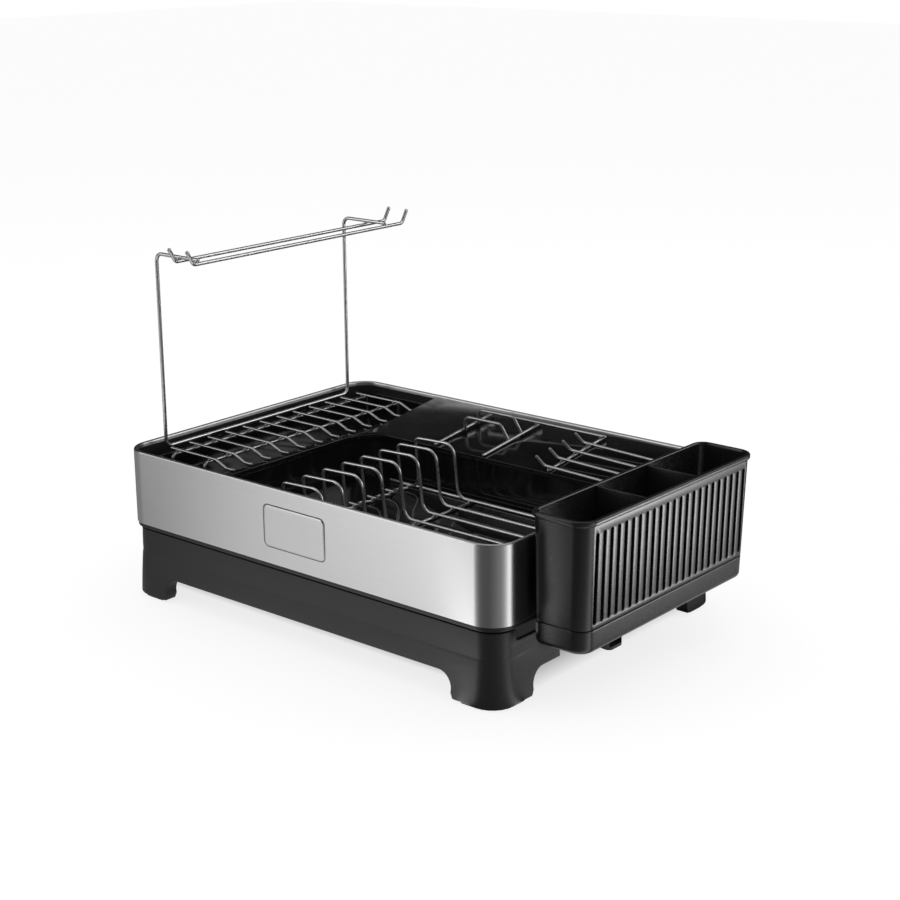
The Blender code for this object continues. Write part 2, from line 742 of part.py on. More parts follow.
def make_plate_rack():
    """Eight hoops with long tails, laid on cross wires and a wavy wire."""
    left = -half_x + loop_left
    top_left = left - loop_left_lean
    top_right = top_left + loop_top_span
    tail = top_right + loop_tail
    corners = [(left - loop_foot_run, 0, loop_floor), (left, 0, loop_floor), (top_left, 0, loop_top),
               (top_right, 0, loop_top + loop_top_rise),
               (top_right + loop_right_lean, 0, loop_floor),
               (tail, 0, loop_floor)]
    radii = [loop_foot_bend, loop_left_bend, loop_right_bend, loop_foot_bend]
    hoop = wire("plate_loop_1", bent_path(corners, radii), rack_wire, parts)
    finish(hoop, chrome, plate_body, (0, loop_y(0), 0))
    for index in range(1, loop_count):
        copy = new_object(f"plate_loop_{index + 1}", hoop.data, parts)
        finish(copy, chrome, plate_body, (0, loop_y(index), 0))
    carrier = loop_floor - rack_wire - gap
    start = loop_y(0) - cross_overhang
    back = loop_y(loop_count - 1) + back_wire_offset
    second_cross = tail - cross_wire_from_tail
    end = back - rack_wire - gap
    for number, x in enumerate((-half_x + cross_wire_x, second_cross), 1):
        cross = wire(f"plate_cross_wire_{number}", [(0, start, carrier), (0, end, carrier)],
                     rack_wire, parts)
        finish(cross, chrome, plate_body, (x, 0, 0))
    wave = []
    for step in range(wave_steps_per_loop * (loop_count - 1) + 1):
        turn = 2 * math.pi * step / wave_steps_per_loop
        x = left - wave_offset - wave_depth * (1 - math.cos(turn)) / 2
        wave.append((x, loop_y(0) + loop_pitch * step / wave_steps_per_loop, carrier))
    finish(wire("plate_wavy_wire", wave, rack_wire, parts), chrome, plate_body)
    back_left = -half_x + loop_left - back_wire_left
    back_wire = wire("plate_back_wire", [(back_left, back, carrier),
                                         (second_cross + back_wire_overhang, back, carrier)],
                     rack_wire, parts)
    finish(back_wire, chrome, plate_body)


def make_cup_rack():
    """Three wires up the slope and one that ties them, pegs on the right, hoops on the left."""
    low = rack_wire / 2 + gap
    high = low + rack_wire + gap
    for number, from_left in enumerate((cup_wire_1_x, cup_wire_2_x, cup_wire_3_x), 1):
        runner = wire(f"cup_runner_{number}", [(0, cup_wire_start, low),
                                               (0, cup_wire_start + cup_wire_length, low)],
                      rack_wire, parts)
        finish(runner, chrome, cup_slope, (-half_x + from_left, 0, 0))
    tie = wire("cup_tie_wire", [(cup_wire_1_x - cup_tie_overhang, 0, high),
                                (cup_wire_3_x + cup_tie_overhang, 0, high)], rack_wire, parts)
    finish(tie, chrome, cup_slope, (-half_x, cup_wire_start + cup_wire_length - cup_tie_back, 0))
    start = -half_x + cup_peg_x
    end = -half_x + cup_peg_end
    knee = high + cup_peg_lift
    path = bent_path([(start, 0, knee + cup_peg_rise), (start + cup_peg_hook, 0, knee), (end, 0, low)],
                     cup_peg_bend)
    for index in range(cup_peg_count):
        peg = wire(f"cup_peg_{index + 1}", path, rack_wire, parts)
        finish(peg, chrome, cup_slope, (0, cup_peg_first + cup_peg_pitch * index, 0))
    left = -half_x + cup_wire_1_x + rack_wire + gap
    right = -half_x + cup_wire_2_x - rack_wire - gap
    hoop = bent_path([(left, 0, gap), (left, 0, high + cup_loop_height),
                      (right - cup_loop_lean, 0, high + cup_loop_height),
                      (right, 0, cup_loop_foot)],
                     cup_loop_bend)
    for index in range(cup_loop_count):
        place = cup_peg_first + cup_peg_pitch * (cup_peg_count - 1 - index)
        loop = wire(f"cup_loop_{index + 1}", hoop, rack_wire, parts)
        finish(loop, chrome, cup_slope, (0, place, 0))


def make_glass_rest():
    """Bars across the left shelf that step down onto its lip, on two legged carriers."""
    x = -half_x + rest_left
    landing_height = glass_shelf_lip + rack_wire / 2 + gap
    corners = [(x, 0, rest_plateau_height), (x + rest_plateau, 0, rest_plateau_height),
               (x + rest_plateau + rest_fall, 0, landing_height),
               (x + rest_plateau + rest_fall + rest_landing, 0, landing_height)]
    path = bent_path(corners, rest_bend)
    first = -half_y + rest_first
    for index in range(rest_count):
        bar = wire(f"glass_bar_{index + 1}", path, rack_wire, parts)
        finish(bar, chrome, rest_body, (0, first + rest_pitch * index, 0))
    top = rest_plateau_height - rack_wire - gap
    floor = glass_shelf_floor + gap
    near = first - rest_carrier_overhang
    far = first + rest_pitch * (rest_count - 1) + rest_carrier_overhang
    frame = bent_path([(0, near, floor), (0, near, top), (0, far, top), (0, far, floor)], rest_leg_bend)
    for number, offset in enumerate((rest_carrier_1, rest_carrier_2), 1):
        carrier = wire(f"glass_carrier_{number}", frame, rack_wire, parts)
        finish(carrier, chrome, rest_body, (x + offset, 0, 0))


def caddy_ring(height, inset):
    """The caddy's outline at a height, drawn in by an inset; the end by the band is upright."""
    draft = caddy_draft * (caddy_top - height) / (caddy_top - caddy_bottom)
    inner = caddy_inner_corner - inset
    outer = caddy_outer_corner - inset
    outline = rectangle(caddy_left + inset, caddy_right - inset - draft, caddy_near + inset + draft,
                        caddy_far - inset - draft, inner, outer, outer, inner)
    return [(x, y, height) for x, y in outline]


def make_caddy_body():
    bottom = caddy_seam + gap
    lip_low = caddy_top - caddy_lip_height
    rings = [caddy_ring(bottom, 0), caddy_ring(lip_low, 0), caddy_ring(lip_low, -caddy_lip_out),
             caddy_ring(caddy_top - caddy_lip_round, -caddy_lip_out),
             caddy_ring(caddy_top, caddy_lip_round - caddy_lip_out),
             caddy_ring(caddy_top, caddy_wall), caddy_ring(bottom + caddy_floor, caddy_wall)]
    body = loft("caddy_body", rings, parts)
    slots = slab("caddy_slots", rectangle(-slot_width / 2, slot_width / 2, slot_bottom, slot_top,
                                          slot_width / 2 - gap),
                 caddy_right - caddy_draft - caddy_wall - overrun, caddy_right + overrun, "YZ", cutters)
    run = slots.modifiers.new("row", "ARRAY")
    run.use_relative_offset = False
    run.use_constant_offset = True
    run.constant_offset_displace = (0, slot_pitch, 0)
    run.count = slot_count
    combine(body, slots, "DIFFERENCE")
    middle = (caddy_left + caddy_right - caddy_draft) / 2
    drains = slab("caddy_drains", rectangle(middle - drain_slot_length / 2,
                                            middle + drain_slot_length / 2,
                                            -drain_slot_width / 2, drain_slot_width / 2, 0),
                  bottom - overrun, bottom + caddy_floor + overrun, "XY", cutters)
    row = drains.modifiers.new("row", "ARRAY")
    row.use_relative_offset = False
    row.use_constant_offset = True
    row.constant_offset_displace = (0, drain_slot_pitch, 0)
    row.count = drain_slot_count
    combine(body, drains, "DIFFERENCE")
    finish(body, caddy_plastic, caddy_body)
    slots.location.y = caddy_centre - slot_pitch * (slot_count - 1) / 2
    drains.location.y = caddy_centre - drain_slot_pitch * (drain_slot_count - 1) / 2


def make_caddy_cup():
    top = caddy_seam
    rings = [caddy_ring(caddy_bottom, cup_bottom_round),
             caddy_ring(caddy_bottom + cup_bottom_round * (1 - math.sqrt(0.5)),
                        cup_bottom_round * (1 - math.sqrt(0.5))),
             caddy_ring(caddy_bottom + cup_bottom_round, 0), caddy_ring(top, 0),
             caddy_ring(top, caddy_wall),
             caddy_ring(caddy_bottom + cup_bottom_round, caddy_wall),
             caddy_ring(caddy_bottom + caddy_floor, cup_bottom_round)]
    finish(loft("caddy_drip_cup", rings, parts), caddy_plastic, cup_body)


def make_caddy_dividers():
    low = caddy_seam + gap + caddy_floor + gap
    high = caddy_top - divider_below_top
    half = divider_thickness / 2
    for number, side in enumerate((-1, 1), 1):
        place = caddy_centre + side * divider_spread
        rings = []
        for height in (low, high):
            xs = [point[0] for point in caddy_ring(height, caddy_wall + gap)]
            outline = rectangle(min(xs), max(xs), place - half, place + half, 0)
            rings.append([(x, y, height) for x, y in outline])
        finish(loft(f"caddy_divider_{number}", rings, parts), caddy_plastic, caddy_body)


def make_caddy_hooks():
    """Inverted channels that hang the caddy on the band's rim."""
    inner = half_x - rim_width - gap
    outer = caddy_left - gap
    top = band_top + gap + hook_plate
    outline = [(inner - hook_thickness, top - hook_plate - hook_inner_drop),
               (inner, top - hook_plate - hook_inner_drop), (inner, top - hook_plate),
               (outer - hook_thickness, top - hook_plate),
               (outer - hook_thickness, top - hook_plate - hook_outer_drop),
               (outer, top - hook_plate - hook_outer_drop), (outer, top),
               (inner - hook_thickness, top)]
    for number, side in enumerate((-1, 1), 1):
        place = caddy_centre + side * hook_spread
        hook = slab(f"caddy_hook_{number}", outline, place - hook_width / 2, place + hook_width / 2,
                    "XZ", parts)
        finish(hook, caddy_plastic, caddy_body)


clear_scene()
parts = new_collection("dish_drainer")
cutters = new_collection("cutters")

steel = new_material("brushed_steel", (0.58, 0.58, 0.57), 0.32, 1.0)
base_plastic = new_material("base_plastic", (0.032, 0.033, 0.035), 0.5, 0.0)
liner_plastic = new_material("liner_plastic", (0.008, 0.008, 0.009), 0.08, 0.0)
caddy_plastic = new_material("caddy_plastic", (0.022, 0.023, 0.025), 0.38, 0.0)
chrome = new_material("chrome_wire", (0.74, 0.74, 0.75), 0.12, 1.0)
rubber = new_material("pad_rubber", (0.02, 0.02, 0.02), 0.85, 0.0)

base_body = new_empty("base", (shift_x, shift_y, 0))
liner_body = new_empty("liner", (0, 0, 0), base_body)
spout_body = new_empty("spout", (outlet_x, outlet_y, 0), base_body)
stemware_body = new_empty("stemware_holder", (0, 0, 0), liner_body)
plate_body = new_empty("plate_rack", (0, 0, 0), liner_body)
rest_body = new_empty("glass_rest", (0, 0, 0), liner_body)
cup_rack_body = new_empty("cup_rack", (0, 0, 0), liner_body)
cup_slope = new_empty("cup_slope", (0, well_back_y, cup_shelf_front), cup_rack_body)
cup_slope.rotation_euler.x = math.atan2(cup_shelf_back - cup_shelf_front, liner_back - well_back_y)
cup_body = new_empty("drip_cup", (0, 0, 0), base_body)
caddy_body = new_empty("caddy", (0, 0, 0), cup_body)

make_band()
make_badge()
make_base_rim()
make_base_skirt()
make_spout_bracket()
make_pads()
make_tray()
make_glass_shelf()
make_cup_shelf()
make_spout()
make_stemware_holder()
make_stemware_clips()
make_plate_rack()
make_cup_rack()
make_glass_rest()
make_caddy_body()
make_caddy_cup()
make_caddy_dividers()
make_caddy_hooks()
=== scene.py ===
# %% [markdown]
# # A countertop dish drainer
#
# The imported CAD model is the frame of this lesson: every piece made here is placed from it, and
# rides on one of its bodies. The drainer is a brushed steel band round a charcoal base, a glossy
# black liner, bright wire racks and a slotted caddy, so the lesson is about four finishes and
# about shapes that follow a path.

# %% Load the frame
import math

import bmesh
import bpy
from mathutils import Matrix, Vector


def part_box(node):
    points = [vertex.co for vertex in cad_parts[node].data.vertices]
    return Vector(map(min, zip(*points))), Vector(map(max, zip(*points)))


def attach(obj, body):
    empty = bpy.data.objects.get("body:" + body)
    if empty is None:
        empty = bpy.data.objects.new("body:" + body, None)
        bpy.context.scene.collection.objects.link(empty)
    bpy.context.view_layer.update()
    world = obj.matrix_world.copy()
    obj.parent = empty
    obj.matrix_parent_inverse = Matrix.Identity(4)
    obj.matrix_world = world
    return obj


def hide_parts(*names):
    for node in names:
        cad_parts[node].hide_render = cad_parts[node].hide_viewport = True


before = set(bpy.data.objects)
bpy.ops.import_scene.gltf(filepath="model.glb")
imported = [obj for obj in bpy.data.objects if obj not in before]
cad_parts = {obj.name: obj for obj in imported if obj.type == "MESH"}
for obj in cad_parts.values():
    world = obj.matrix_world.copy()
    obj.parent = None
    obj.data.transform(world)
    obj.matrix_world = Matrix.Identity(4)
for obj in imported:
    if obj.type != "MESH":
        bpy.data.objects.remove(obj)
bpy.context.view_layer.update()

# %% [markdown]
# The band is the piece that everything else is set out from, so places are given in millimetres
# from its middle, with heights from the worktop. One small function turns them into the metres
# of the frame, and another reads them back from a CAD node.

# %% Places on the drainer
MM = 0.001
band_low, band_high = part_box("steel_band")
middle = (band_low + band_high) / 2
half_x = (band_high.x - band_low.x) / 2 / MM
half_y = (band_high.y - band_low.y) / 2 / MM


def at(x, y, z):
    """A place in the frame, from millimetres measured from the band's middle."""
    return Vector((middle.x + x * MM, middle.y + y * MM, z * MM))


def span(node):
    """A CAD node's lowest and highest corners, in millimetres from the band's middle."""
    low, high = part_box(node)
    shift = Vector((middle.x, middle.y, 0))
    return (low - shift) / MM, (high - shift) / MM


def centre_of(node):
    """The middle of a CAD node, in millimetres from the band's middle."""
    low, high = span(node)
    return (low + high) / 2


def numbered(stem, count):
    """The names of CAD nodes that are told apart by a number."""
    return [f"{stem}_{number}" for number in range(1, count + 1)]


# %% [markdown]
# ## Shader maths
#
# Steel, plastic and plated wire all need patterns that are sums and products of noise. Wrapping
# a socket in a small class lets such a pattern be written as ordinary arithmetic: each operator
# adds its Math node. Every other node comes from one method.

# %% A socket that does arithmetic
class Signal:
    """A socket in a node tree. Arithmetic on it adds Math nodes."""

    def __init__(self, tree, socket=None):
        self.tree = tree
        self.socket = socket

    def node(self, kind, sockets, output=0, **settings):
        """A new node's output. Signals are linked to its sockets, and other values set there."""
        made = self.tree.nodes.new(kind)
        for name, value in settings.items():
            if name == "stops":
                ramp = made.color_ramp.elements
                while len(ramp) < len(value):
                    ramp.new(0.5)
                for stop, (place, shade) in zip(ramp, value):
                    stop.position = place
                    stop.color = (shade, shade, shade, 1)
            else:
                setattr(made, name, value)
        for name, value in sockets.items():
            if isinstance(value, Signal):
                self.tree.links.new(value.socket, made.inputs[name])
            else:
                made.inputs[name].default_value = value
        return Signal(self.tree, made.outputs[output])

    def maths(self, operation, other=0.0):
        return self.node("ShaderNodeMath", {0: self, 1: other}, operation=operation)

    def __add__(self, other):
        return self.maths("ADD", other)

    def __sub__(self, other):
        return self.maths("SUBTRACT", other)

    def __mul__(self, other):
        return self.maths("MULTIPLY", other)


# %% [markdown]
# A finish starts from the piece's own coordinates, so that its pattern stays put when the piece
# moves. Noise that is stretched along one direction turns into brushing; noise at one scale is
# grain; a ramp keeps only its peaks and gives smudges or scuffs.

# %% Patterns and the shader they feed
def new_finish(name, **constants):
    """A new material with its constants set, and a signal that starts its patterns."""
    material = bpy.data.materials.new(name)
    material.use_nodes = True
    shader = material.node_tree.nodes["Principled BSDF"]
    for socket, value in constants.items():
        label = socket.replace("_", " ").title().replace("Ior", "IOR")
        shader.inputs[label].default_value = value
    return material, shader, Signal(material.node_tree)


def noise(start, scale, detail=2.0, roughness=0.5):
    """Noise on the piece's own coordinates, with its own number of waves a metre each way."""
    place = start.node("ShaderNodeTexCoord", {}, "Object")
    waves = start.node("ShaderNodeMapping", {"Vector": place, "Scale": scale})
    return start.node("ShaderNodeTexNoise", {"Vector": waves, "Scale": 1.0, "Detail": detail,
                                                 "Roughness": roughness})


def ramp(signal, *stops):
    """A level for each place along a signal, straight between the stops."""
    return signal.node("ShaderNodeValToRGB", {"Fac": signal}, stops=stops)


def mixed(start, amount, first, second):
    return start.node("ShaderNodeMix", {0: amount, 6: (*first, 1), 7: (*second, 1)}, 2,
                      data_type="RGBA")


def bump(start, height, strength, distance):
    """A normal for the shader from a height in metres."""
    return start.node("ShaderNodeBump", {"Height": height, "Strength": strength,
                                             "Distance": distance})


def feed(start, shader, **signals):
    """Links signals to the shader's sockets."""
    for name, signal in signals.items():
        start.tree.links.new(signal.socket, shader.inputs[name.replace("_", " ").title()])


# %% [markdown]
# ## Brushed steel
#
# The band is stainless sheet, brushed round the body in fine level lines. The lines are noise
# with thousands of waves a metre upwards and only a few along, which follows all four sides
# without a seam. They vary the roughness more than the colour, as real brushing does, and a
# slow cloud on top breaks up the evenness as handling does.

# %% Steel
def brushed_steel(name, shade, roughness):
    """Steel with level brushing. The grain is a few hundredths of a millimetre deep."""
    material, shader, start = new_finish(name, metallic=1.0, anisotropic=0.8,
                                         anisotropic_rotation=0.25)
    fine = noise(start, (5, 5, 3400), 3.0, 0.6)
    broad = noise(start, (2.5, 2.5, 620))
    cloud = noise(start, (9, 9, 14))
    lines = fine * 0.62 + broad * 0.38
    feed(start, shader,
         base_color=mixed(start, lines * 0.8 + cloud * 0.2, [shade * 0.90] * 3,
                          (shade * 1.07, shade * 1.07, shade * 1.065)),
         roughness=lines * 0.14 + cloud * 0.06 + (roughness - 0.10),
         normal=bump(start, lines, 0.35, 0.00004))
    return material


steel = brushed_steel("brushed_steel", shade=0.66, roughness=0.33)
badge_steel = brushed_steel("badge_steel", shade=0.66, roughness=0.31)

# %% [markdown]
# ## Moulded plastics
#
# Three blacks that differ mostly in gloss. The base is charcoal with a fine spark-eroded grain.
# The caddy is a little darker and smoother, with the slight waviness of a thin moulding. The
# liner is polished black: its roughness is low, and faint wiped smudges and dried drops show
# only where it reflects something bright.

# %% Plastics
def grained_plastic(name, dark, light, roughness, waves, depth, mirror=0.5):
    """Plastic between two greys, with a grain of so many waves a metre and scuffs."""
    material, shader, start = new_finish(name, specular_ior_level=mirror)
    grain = noise(start, [waves] * 3, 3.0, 0.65)
    cloud = noise(start, (11, 11, 11), 3.0, 0.55)
    scuff = ramp(noise(start, (70, 70, 160), 4.0, 0.7), (0.60, 0.0), (0.74, 1.0))
    feed(start, shader,
         base_color=mixed(start, cloud * 0.6 + grain * 0.25 + scuff * 0.15, dark, light),
         roughness=grain * 0.10 + cloud * 0.08 - scuff * 0.05 + (roughness - 0.09),
         normal=bump(start, grain + cloud * 0.5, 0.22, depth))
    return material


def polished_plastic(name):
    """Glossy black with smudges, dried drops and the slow waves of a moulding."""
    material, shader, start = new_finish(name, specular_ior_level=0.5)
    smudge = ramp(noise(start, (22, 22, 30), 4.0, 0.6), (0.48, 0.0), (0.72, 1.0))
    drops = ramp(noise(start, (190, 190, 190), 1.0, 0.4), (0.70, 0.0), (0.76, 1.0))
    wave = noise(start, (16, 16, 16), 1.0, 0.4)
    feed(start, shader,
         base_color=mixed(start, smudge * 0.5 + drops * 0.5, (0.004, 0.004, 0.0045),
                          (0.008, 0.008, 0.0085)),
         roughness=smudge * 0.10 + drops * 0.10 + 0.08,
         normal=bump(start, wave, 0.15, 0.0006))
    return material


base_plastic = grained_plastic(
    "base_plastic", dark=(0.008, 0.0085, 0.0095), light=(0.013, 0.0135, 0.015),
    roughness=0.40, waves=2600, depth=0.00005)
caddy_plastic = grained_plastic(
    "caddy_plastic", dark=(0.004, 0.0041, 0.0045), light=(0.007, 0.0072, 0.008),
    roughness=0.28, waves=1900, depth=0.00003, mirror=0.62)
liner_plastic = polished_plastic("liner_plastic")
pad_rubber = grained_plastic(
    "pad_rubber", dark=[0.016] * 3, light=[0.028] * 3,
    roughness=0.85, waves=3200, depth=0.00006)

# %% [markdown]
# ## Plated wire
#
# The racks are steel wire with bright nickel plating. It is almost a mirror, softened by the
# drawing of the wire, and it is a little duller in patches where water has dried. The cup rack
# and the glass rest are the same wire, given a darker copy of its colour as painted shade.

# %% Wire
def plated_wire(name, dull, clean):
    material, shader, start = new_finish(name, metallic=1.0)
    patch = noise(start, (60, 60, 60), 3.0, 0.6)
    grain = noise(start, (900, 900, 900))
    feed(start, shader,
         base_color=mixed(start, patch, dull, clean),
         roughness=patch * 0.12 + grain * 0.06 + 0.20,
         normal=bump(start, grain, 0.12, 0.00004))
    return material


bright_wire = plated_wire("bright_wire", (0.62, 0.62, 0.63), (0.78, 0.78, 0.79))
# A darker copy of the same plating: painted shade for the cup rack and the glass rest.
shade_painted_wire = plated_wire("shade_painted_wire", (0.36, 0.36, 0.37), (0.52, 0.52, 0.53))

# %% [markdown]
# ## Making meshes
#
# Geometry Nodes and modifiers give live results. A kept piece is a plain mesh at the origin, so
# each is evaluated, copied out as a mesh, and given smooth shading that stops at real edges.

# %% From a live object to a plain piece
scene = bpy.context.scene


def linked(name, data):
    thing = bpy.data.objects.new(name, data)
    scene.collection.objects.link(thing)
    return thing


def evaluated_mesh(thing):
    """The mesh of an object after its modifiers. The object is then removed."""
    bpy.context.view_layer.update()
    graph = bpy.context.evaluated_depsgraph_get()
    mesh = bpy.data.meshes.new_from_object(thing.evaluated_get(graph), depsgraph=graph)
    bpy.data.objects.remove(thing)
    return mesh


def new_piece(name, mesh, finish, corner_angle=34):
    """A finished piece of one material, smooth except where it turns by more than the angle."""
    mesh.name = name
    mesh.materials.clear()
    mesh.materials.append(finish)
    mesh.shade_smooth()
    mesh.set_sharp_from_angle(angle=math.radians(corner_angle))
    piece = linked(name, mesh)
    print(f"{name}: {sum(len(face.vertices) - 2 for face in mesh.polygons)} triangles")
    return piece


def poly_curve(name, paths, is_section=False):
    """A curve of straight stretches. A point's radius carries the bend that it will get."""
    curve = bpy.data.curves.new(name, "CURVE")
    curve.dimensions = "2D" if is_section else "3D"
    curve.fill_mode = "NONE" if is_section else "FULL"
    for points in paths:
        spline = curve.splines.new("POLY")
        spline.points.add(len(points) - 1)
        for target, (x, y, z, bend) in zip(spline.points, points):
            target.co = (x, y, z, 1.0)
            target.radius = bend
        spline.use_cyclic_u = is_section
    return curve


MERGE = 0.01


def mended(mesh, join_flat=False):
    """The mesh with near points merged and its faces turned outwards."""
    shape = bmesh.new()
    shape.from_mesh(mesh)
    bmesh.ops.remove_doubles(shape, verts=shape.verts, dist=MERGE * MM)
    if join_flat:
        bmesh.ops.dissolve_limit(shape, angle_limit=math.radians(0.5), verts=shape.verts,
                                 edges=shape.edges)
    bmesh.ops.recalc_face_normals(shape, faces=shape.faces)
    shape.to_mesh(mesh)
    shape.free()
    return mesh


# %% [markdown]
# A node tree's sizes are named inputs. A small class makes the tree's sockets, adds its nodes,
# and runs it once to get a plain mesh.

# %% A tree with named inputs
KINDS = {"size": "NodeSocketFloat", "count": "NodeSocketInt"}


class Tree:
    """A Geometry Nodes tree under construction."""

    def __init__(self, name, **inputs):
        self.group = bpy.data.node_groups.new(name, "GeometryNodeTree")
        sockets = self.group.interface
        sockets.new_socket("Geometry", in_out="INPUT", socket_type="NodeSocketGeometry")
        sockets.new_socket("Geometry", in_out="OUTPUT", socket_type="NodeSocketGeometry")
        self.inputs = {}
        for label, kind in inputs.items():
            made = sockets.new_socket(label, in_out="INPUT", socket_type=KINDS[kind])
            self.inputs[label] = made.identifier
        self.start = self.group.nodes.new("NodeGroupInput")
        self.end = self.group.nodes.new("NodeGroupOutput")

    def node(self, kind, sockets, **settings):
        """A new node's first output. A socket given as text is one of the tree's inputs."""
        made = self.group.nodes.new(kind)
        for name, value in settings.items():
            setattr(made, name, value)
        for name, value in sockets.items():
            if isinstance(value, str):
                self.group.links.new(self.start.outputs[value], made.inputs[name])
            elif isinstance(value, bpy.types.NodeSocket):
                self.group.links.new(value, made.inputs[name])
            else:
                made.inputs[name].default_value = value
        return made.outputs[0]

    def half(self, size):
        return self.node("ShaderNodeMath", {0: size, 1: 0.5}, operation="MULTIPLY")

    def close(self, geometry):
        """Every tree ends by making its instances real."""
        real = self.node("GeometryNodeRealizeInstances", {"Geometry": geometry})
        self.group.links.new(real, self.end.inputs[0])

    def run(self, name, data, **values):
        """Applies the tree to curve or mesh data and returns a plain mesh."""
        thing = linked(name, data)
        modifier = thing.modifiers.new(name, "NODES")
        modifier.node_group = self.group
        for label, value in values.items():
            modifier[self.inputs[label]] = value
        return evaluated_mesh(thing)


# %% [markdown]
# ## A section carried round the body
#
# The band, the rim ring and the skirt are all one section carried round a rectangle with
# rounded corners. The tree draws the rectangle, rounds it, and carries the section along it.
# The section's X is how far it stands out from the rectangle, and its Y is its height.

# %% The ring tree
ring_tree = Tree("section round the body", Length="size", Width="size", Corner="size",
                 Steps="count")
rectangle = ring_tree.node("GeometryNodeCurvePrimitiveQuadrilateral",
                           {"Width": "Length", "Height": "Width"})
rounded = ring_tree.node("GeometryNodeFilletCurve",
                         {"Curve": rectangle, "Count": "Steps", "Radius": "Corner"}, mode="POLY")
level = ring_tree.node("GeometryNodeSetCurveNormal", {"Curve": rounded}, mode="Z_UP")
ring_tree.close(ring_tree.node("GeometryNodeCurveToMesh",
                               {"Curve": level, "Profile Curve": "Geometry"}))
CORNER, CORNER_STEPS = 25.0, 16


def ring(section):
    """A closed section of (inset, height) points, in millimetres, carried round the body."""
    points = [(-inset * MM, -height * MM, 0, 1) for inset, height in section]
    mesh = ring_tree.run("ring", poly_curve("section", [points], is_section=True),
                         Length=2 * half_x * MM, Width=2 * half_y * MM, Corner=CORNER * MM,
                         Steps=CORNER_STEPS)
    mesh.transform(Matrix.Translation((middle.x, middle.y, 0)))
    return mended(mesh)


def rounded_corner(corner, start, end, steps=4):
    """Points of a quarter turn between two points, bulging towards a corner."""
    turns = [math.pi / 2 * step / steps for step in range(steps + 1)]
    centre = [start[i] + end[i] - corner[i] for i in (0, 1)]
    return [tuple(centre[i] + (start[i] - centre[i]) * math.cos(turn)
                  + (end[i] - centre[i]) * math.sin(turn) for i in (0, 1)) for turn in turns]


# %% [markdown]
# ## The steel band
#
# Thin sheet whose top edge is folded in to make a rim that is safe to hold, with a short hem.
# The fold is a real radius, because the bright line along it is the first thing that the eye
# follows round the drainer.

# %% Band
band_bottom, band_top = band_low.z / MM, band_high.z / MM
GAUGE, RIM, HEM, FOLD, INNER_FOLD = 1.2, 4.0, 4.0, 1.7, 0.5
under, back = band_top - GAUGE, RIM - GAUGE
band_section = [(0, band_bottom),
                *rounded_corner((0, band_top), (0, band_top - FOLD), (FOLD, band_top), 6),
                *rounded_corner((RIM, band_top), (RIM - FOLD, band_top), (RIM, band_top - FOLD), 6),
                (RIM, band_top - HEM), (back, band_top - HEM),
                (back, under - INNER_FOLD), (back - INNER_FOLD, under),
                (GAUGE + INNER_FOLD, under), (GAUGE, under - INNER_FOLD), (GAUGE, band_bottom)]
band = new_piece("steel_wrap", ring(band_section), steel)
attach(band, "base")
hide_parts("steel_band")

# %% [markdown]
# ## Skins over outlines
#
# Pieces whose outline changes with height, such as the caddy, or with depth, such as the badge,
# are skins over a stack of outlines that all have the same number of points.

# %% Outlines and skins
def rounded_rectangle(left, right, low, high, radii, steps=8):
    """Points of a rectangle whose corners, from the low left one round, have their own radii."""
    turns = [math.pi / 2 * step / steps for step in range(steps + 1)]
    corners = [(left, low, 180), (right, low, 270), (right, high, 0), (left, high, 90)]
    points = []
    for (x, y, begin), radius in zip(corners, radii):
        centre_x = x + (radius if x == left else -radius)
        centre_y = y + (radius if y == low else -radius)
        for turn in turns:
            angle = math.radians(begin) + turn
            points.append((centre_x + radius * math.cos(angle),
                           centre_y + radius * math.sin(angle)))
    return points


SKIN_MERGE = 0.002


def skin(rings):
    """A closed mesh over rings of places in the frame."""
    shape = bmesh.new()
    rows = [[shape.verts.new(place) for place in row] for row in rings]
    for lower, upper in zip(rows, rows[1:]):
        for index in range(len(lower)):
            shape.faces.new((lower[index - 1], lower[index], upper[index], upper[index - 1]))
    shape.faces.new(rows[0])
    shape.faces.new(rows[-1])
    bmesh.ops.remove_doubles(shape, verts=shape.verts, dist=SKIN_MERGE * MM)
    bmesh.ops.recalc_face_normals(shape, faces=shape.faces)
    mesh = bpy.data.meshes.new("skin")
    shape.to_mesh(mesh)
    shape.free()
    return mesh


# %% [markdown]
# ## The badge
#
# A bare raised plate of the same sheet, bonded to the band. Its edge rolls over towards the band,
# and a thin black strip round it paints the fine dark line of shade along its edge.

# %% Badge
badge_low, badge_high = span("badge_plate")
BADGE_CORNER, SINK = 5.0, 0.02


def badge_skin(profile):
    """A skin of (inset from the plate's edge, stand) rings, sunk a hair into the band's front."""
    rings = []
    for inwards, stand in profile:
        outline = rounded_rectangle(badge_low.x + inwards, badge_high.x - inwards,
                                    badge_low.z + inwards, badge_high.z - inwards,
                                    [BADGE_CORNER - inwards] * 4, 10)
        rings.append([at(x, -half_y + SINK - stand, z) for x, z in outline])
    return skin(rings)


plate_profile = [(0.0, 0.0), (0.1, 0.30), (0.45, 0.56), (1.0, 0.76), (1.8, 0.9), (2.9, 0.9)]
badge = new_piece("badge_face", badge_skin(plate_profile), badge_steel, 40)
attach(badge, "base")
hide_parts("badge_plate")
# A thin black strip round the plate: a painted shadow line along its edge.
edge_shadow_profile = [(-0.75, 0.0), (-0.7, 0.06), (0.3, 0.06), (0.35, 0.0)]
edge_shadow = new_piece("badge_edge_shadow", badge_skin(edge_shadow_profile), base_plastic)
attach(edge_shadow, "base")

# %% [markdown]
# ## Cutting and softening
#
# A moulding never has a knife edge. Cuts are made with a boolean, and then a bevel modifier
# rounds every edge that turns by more than its angle.

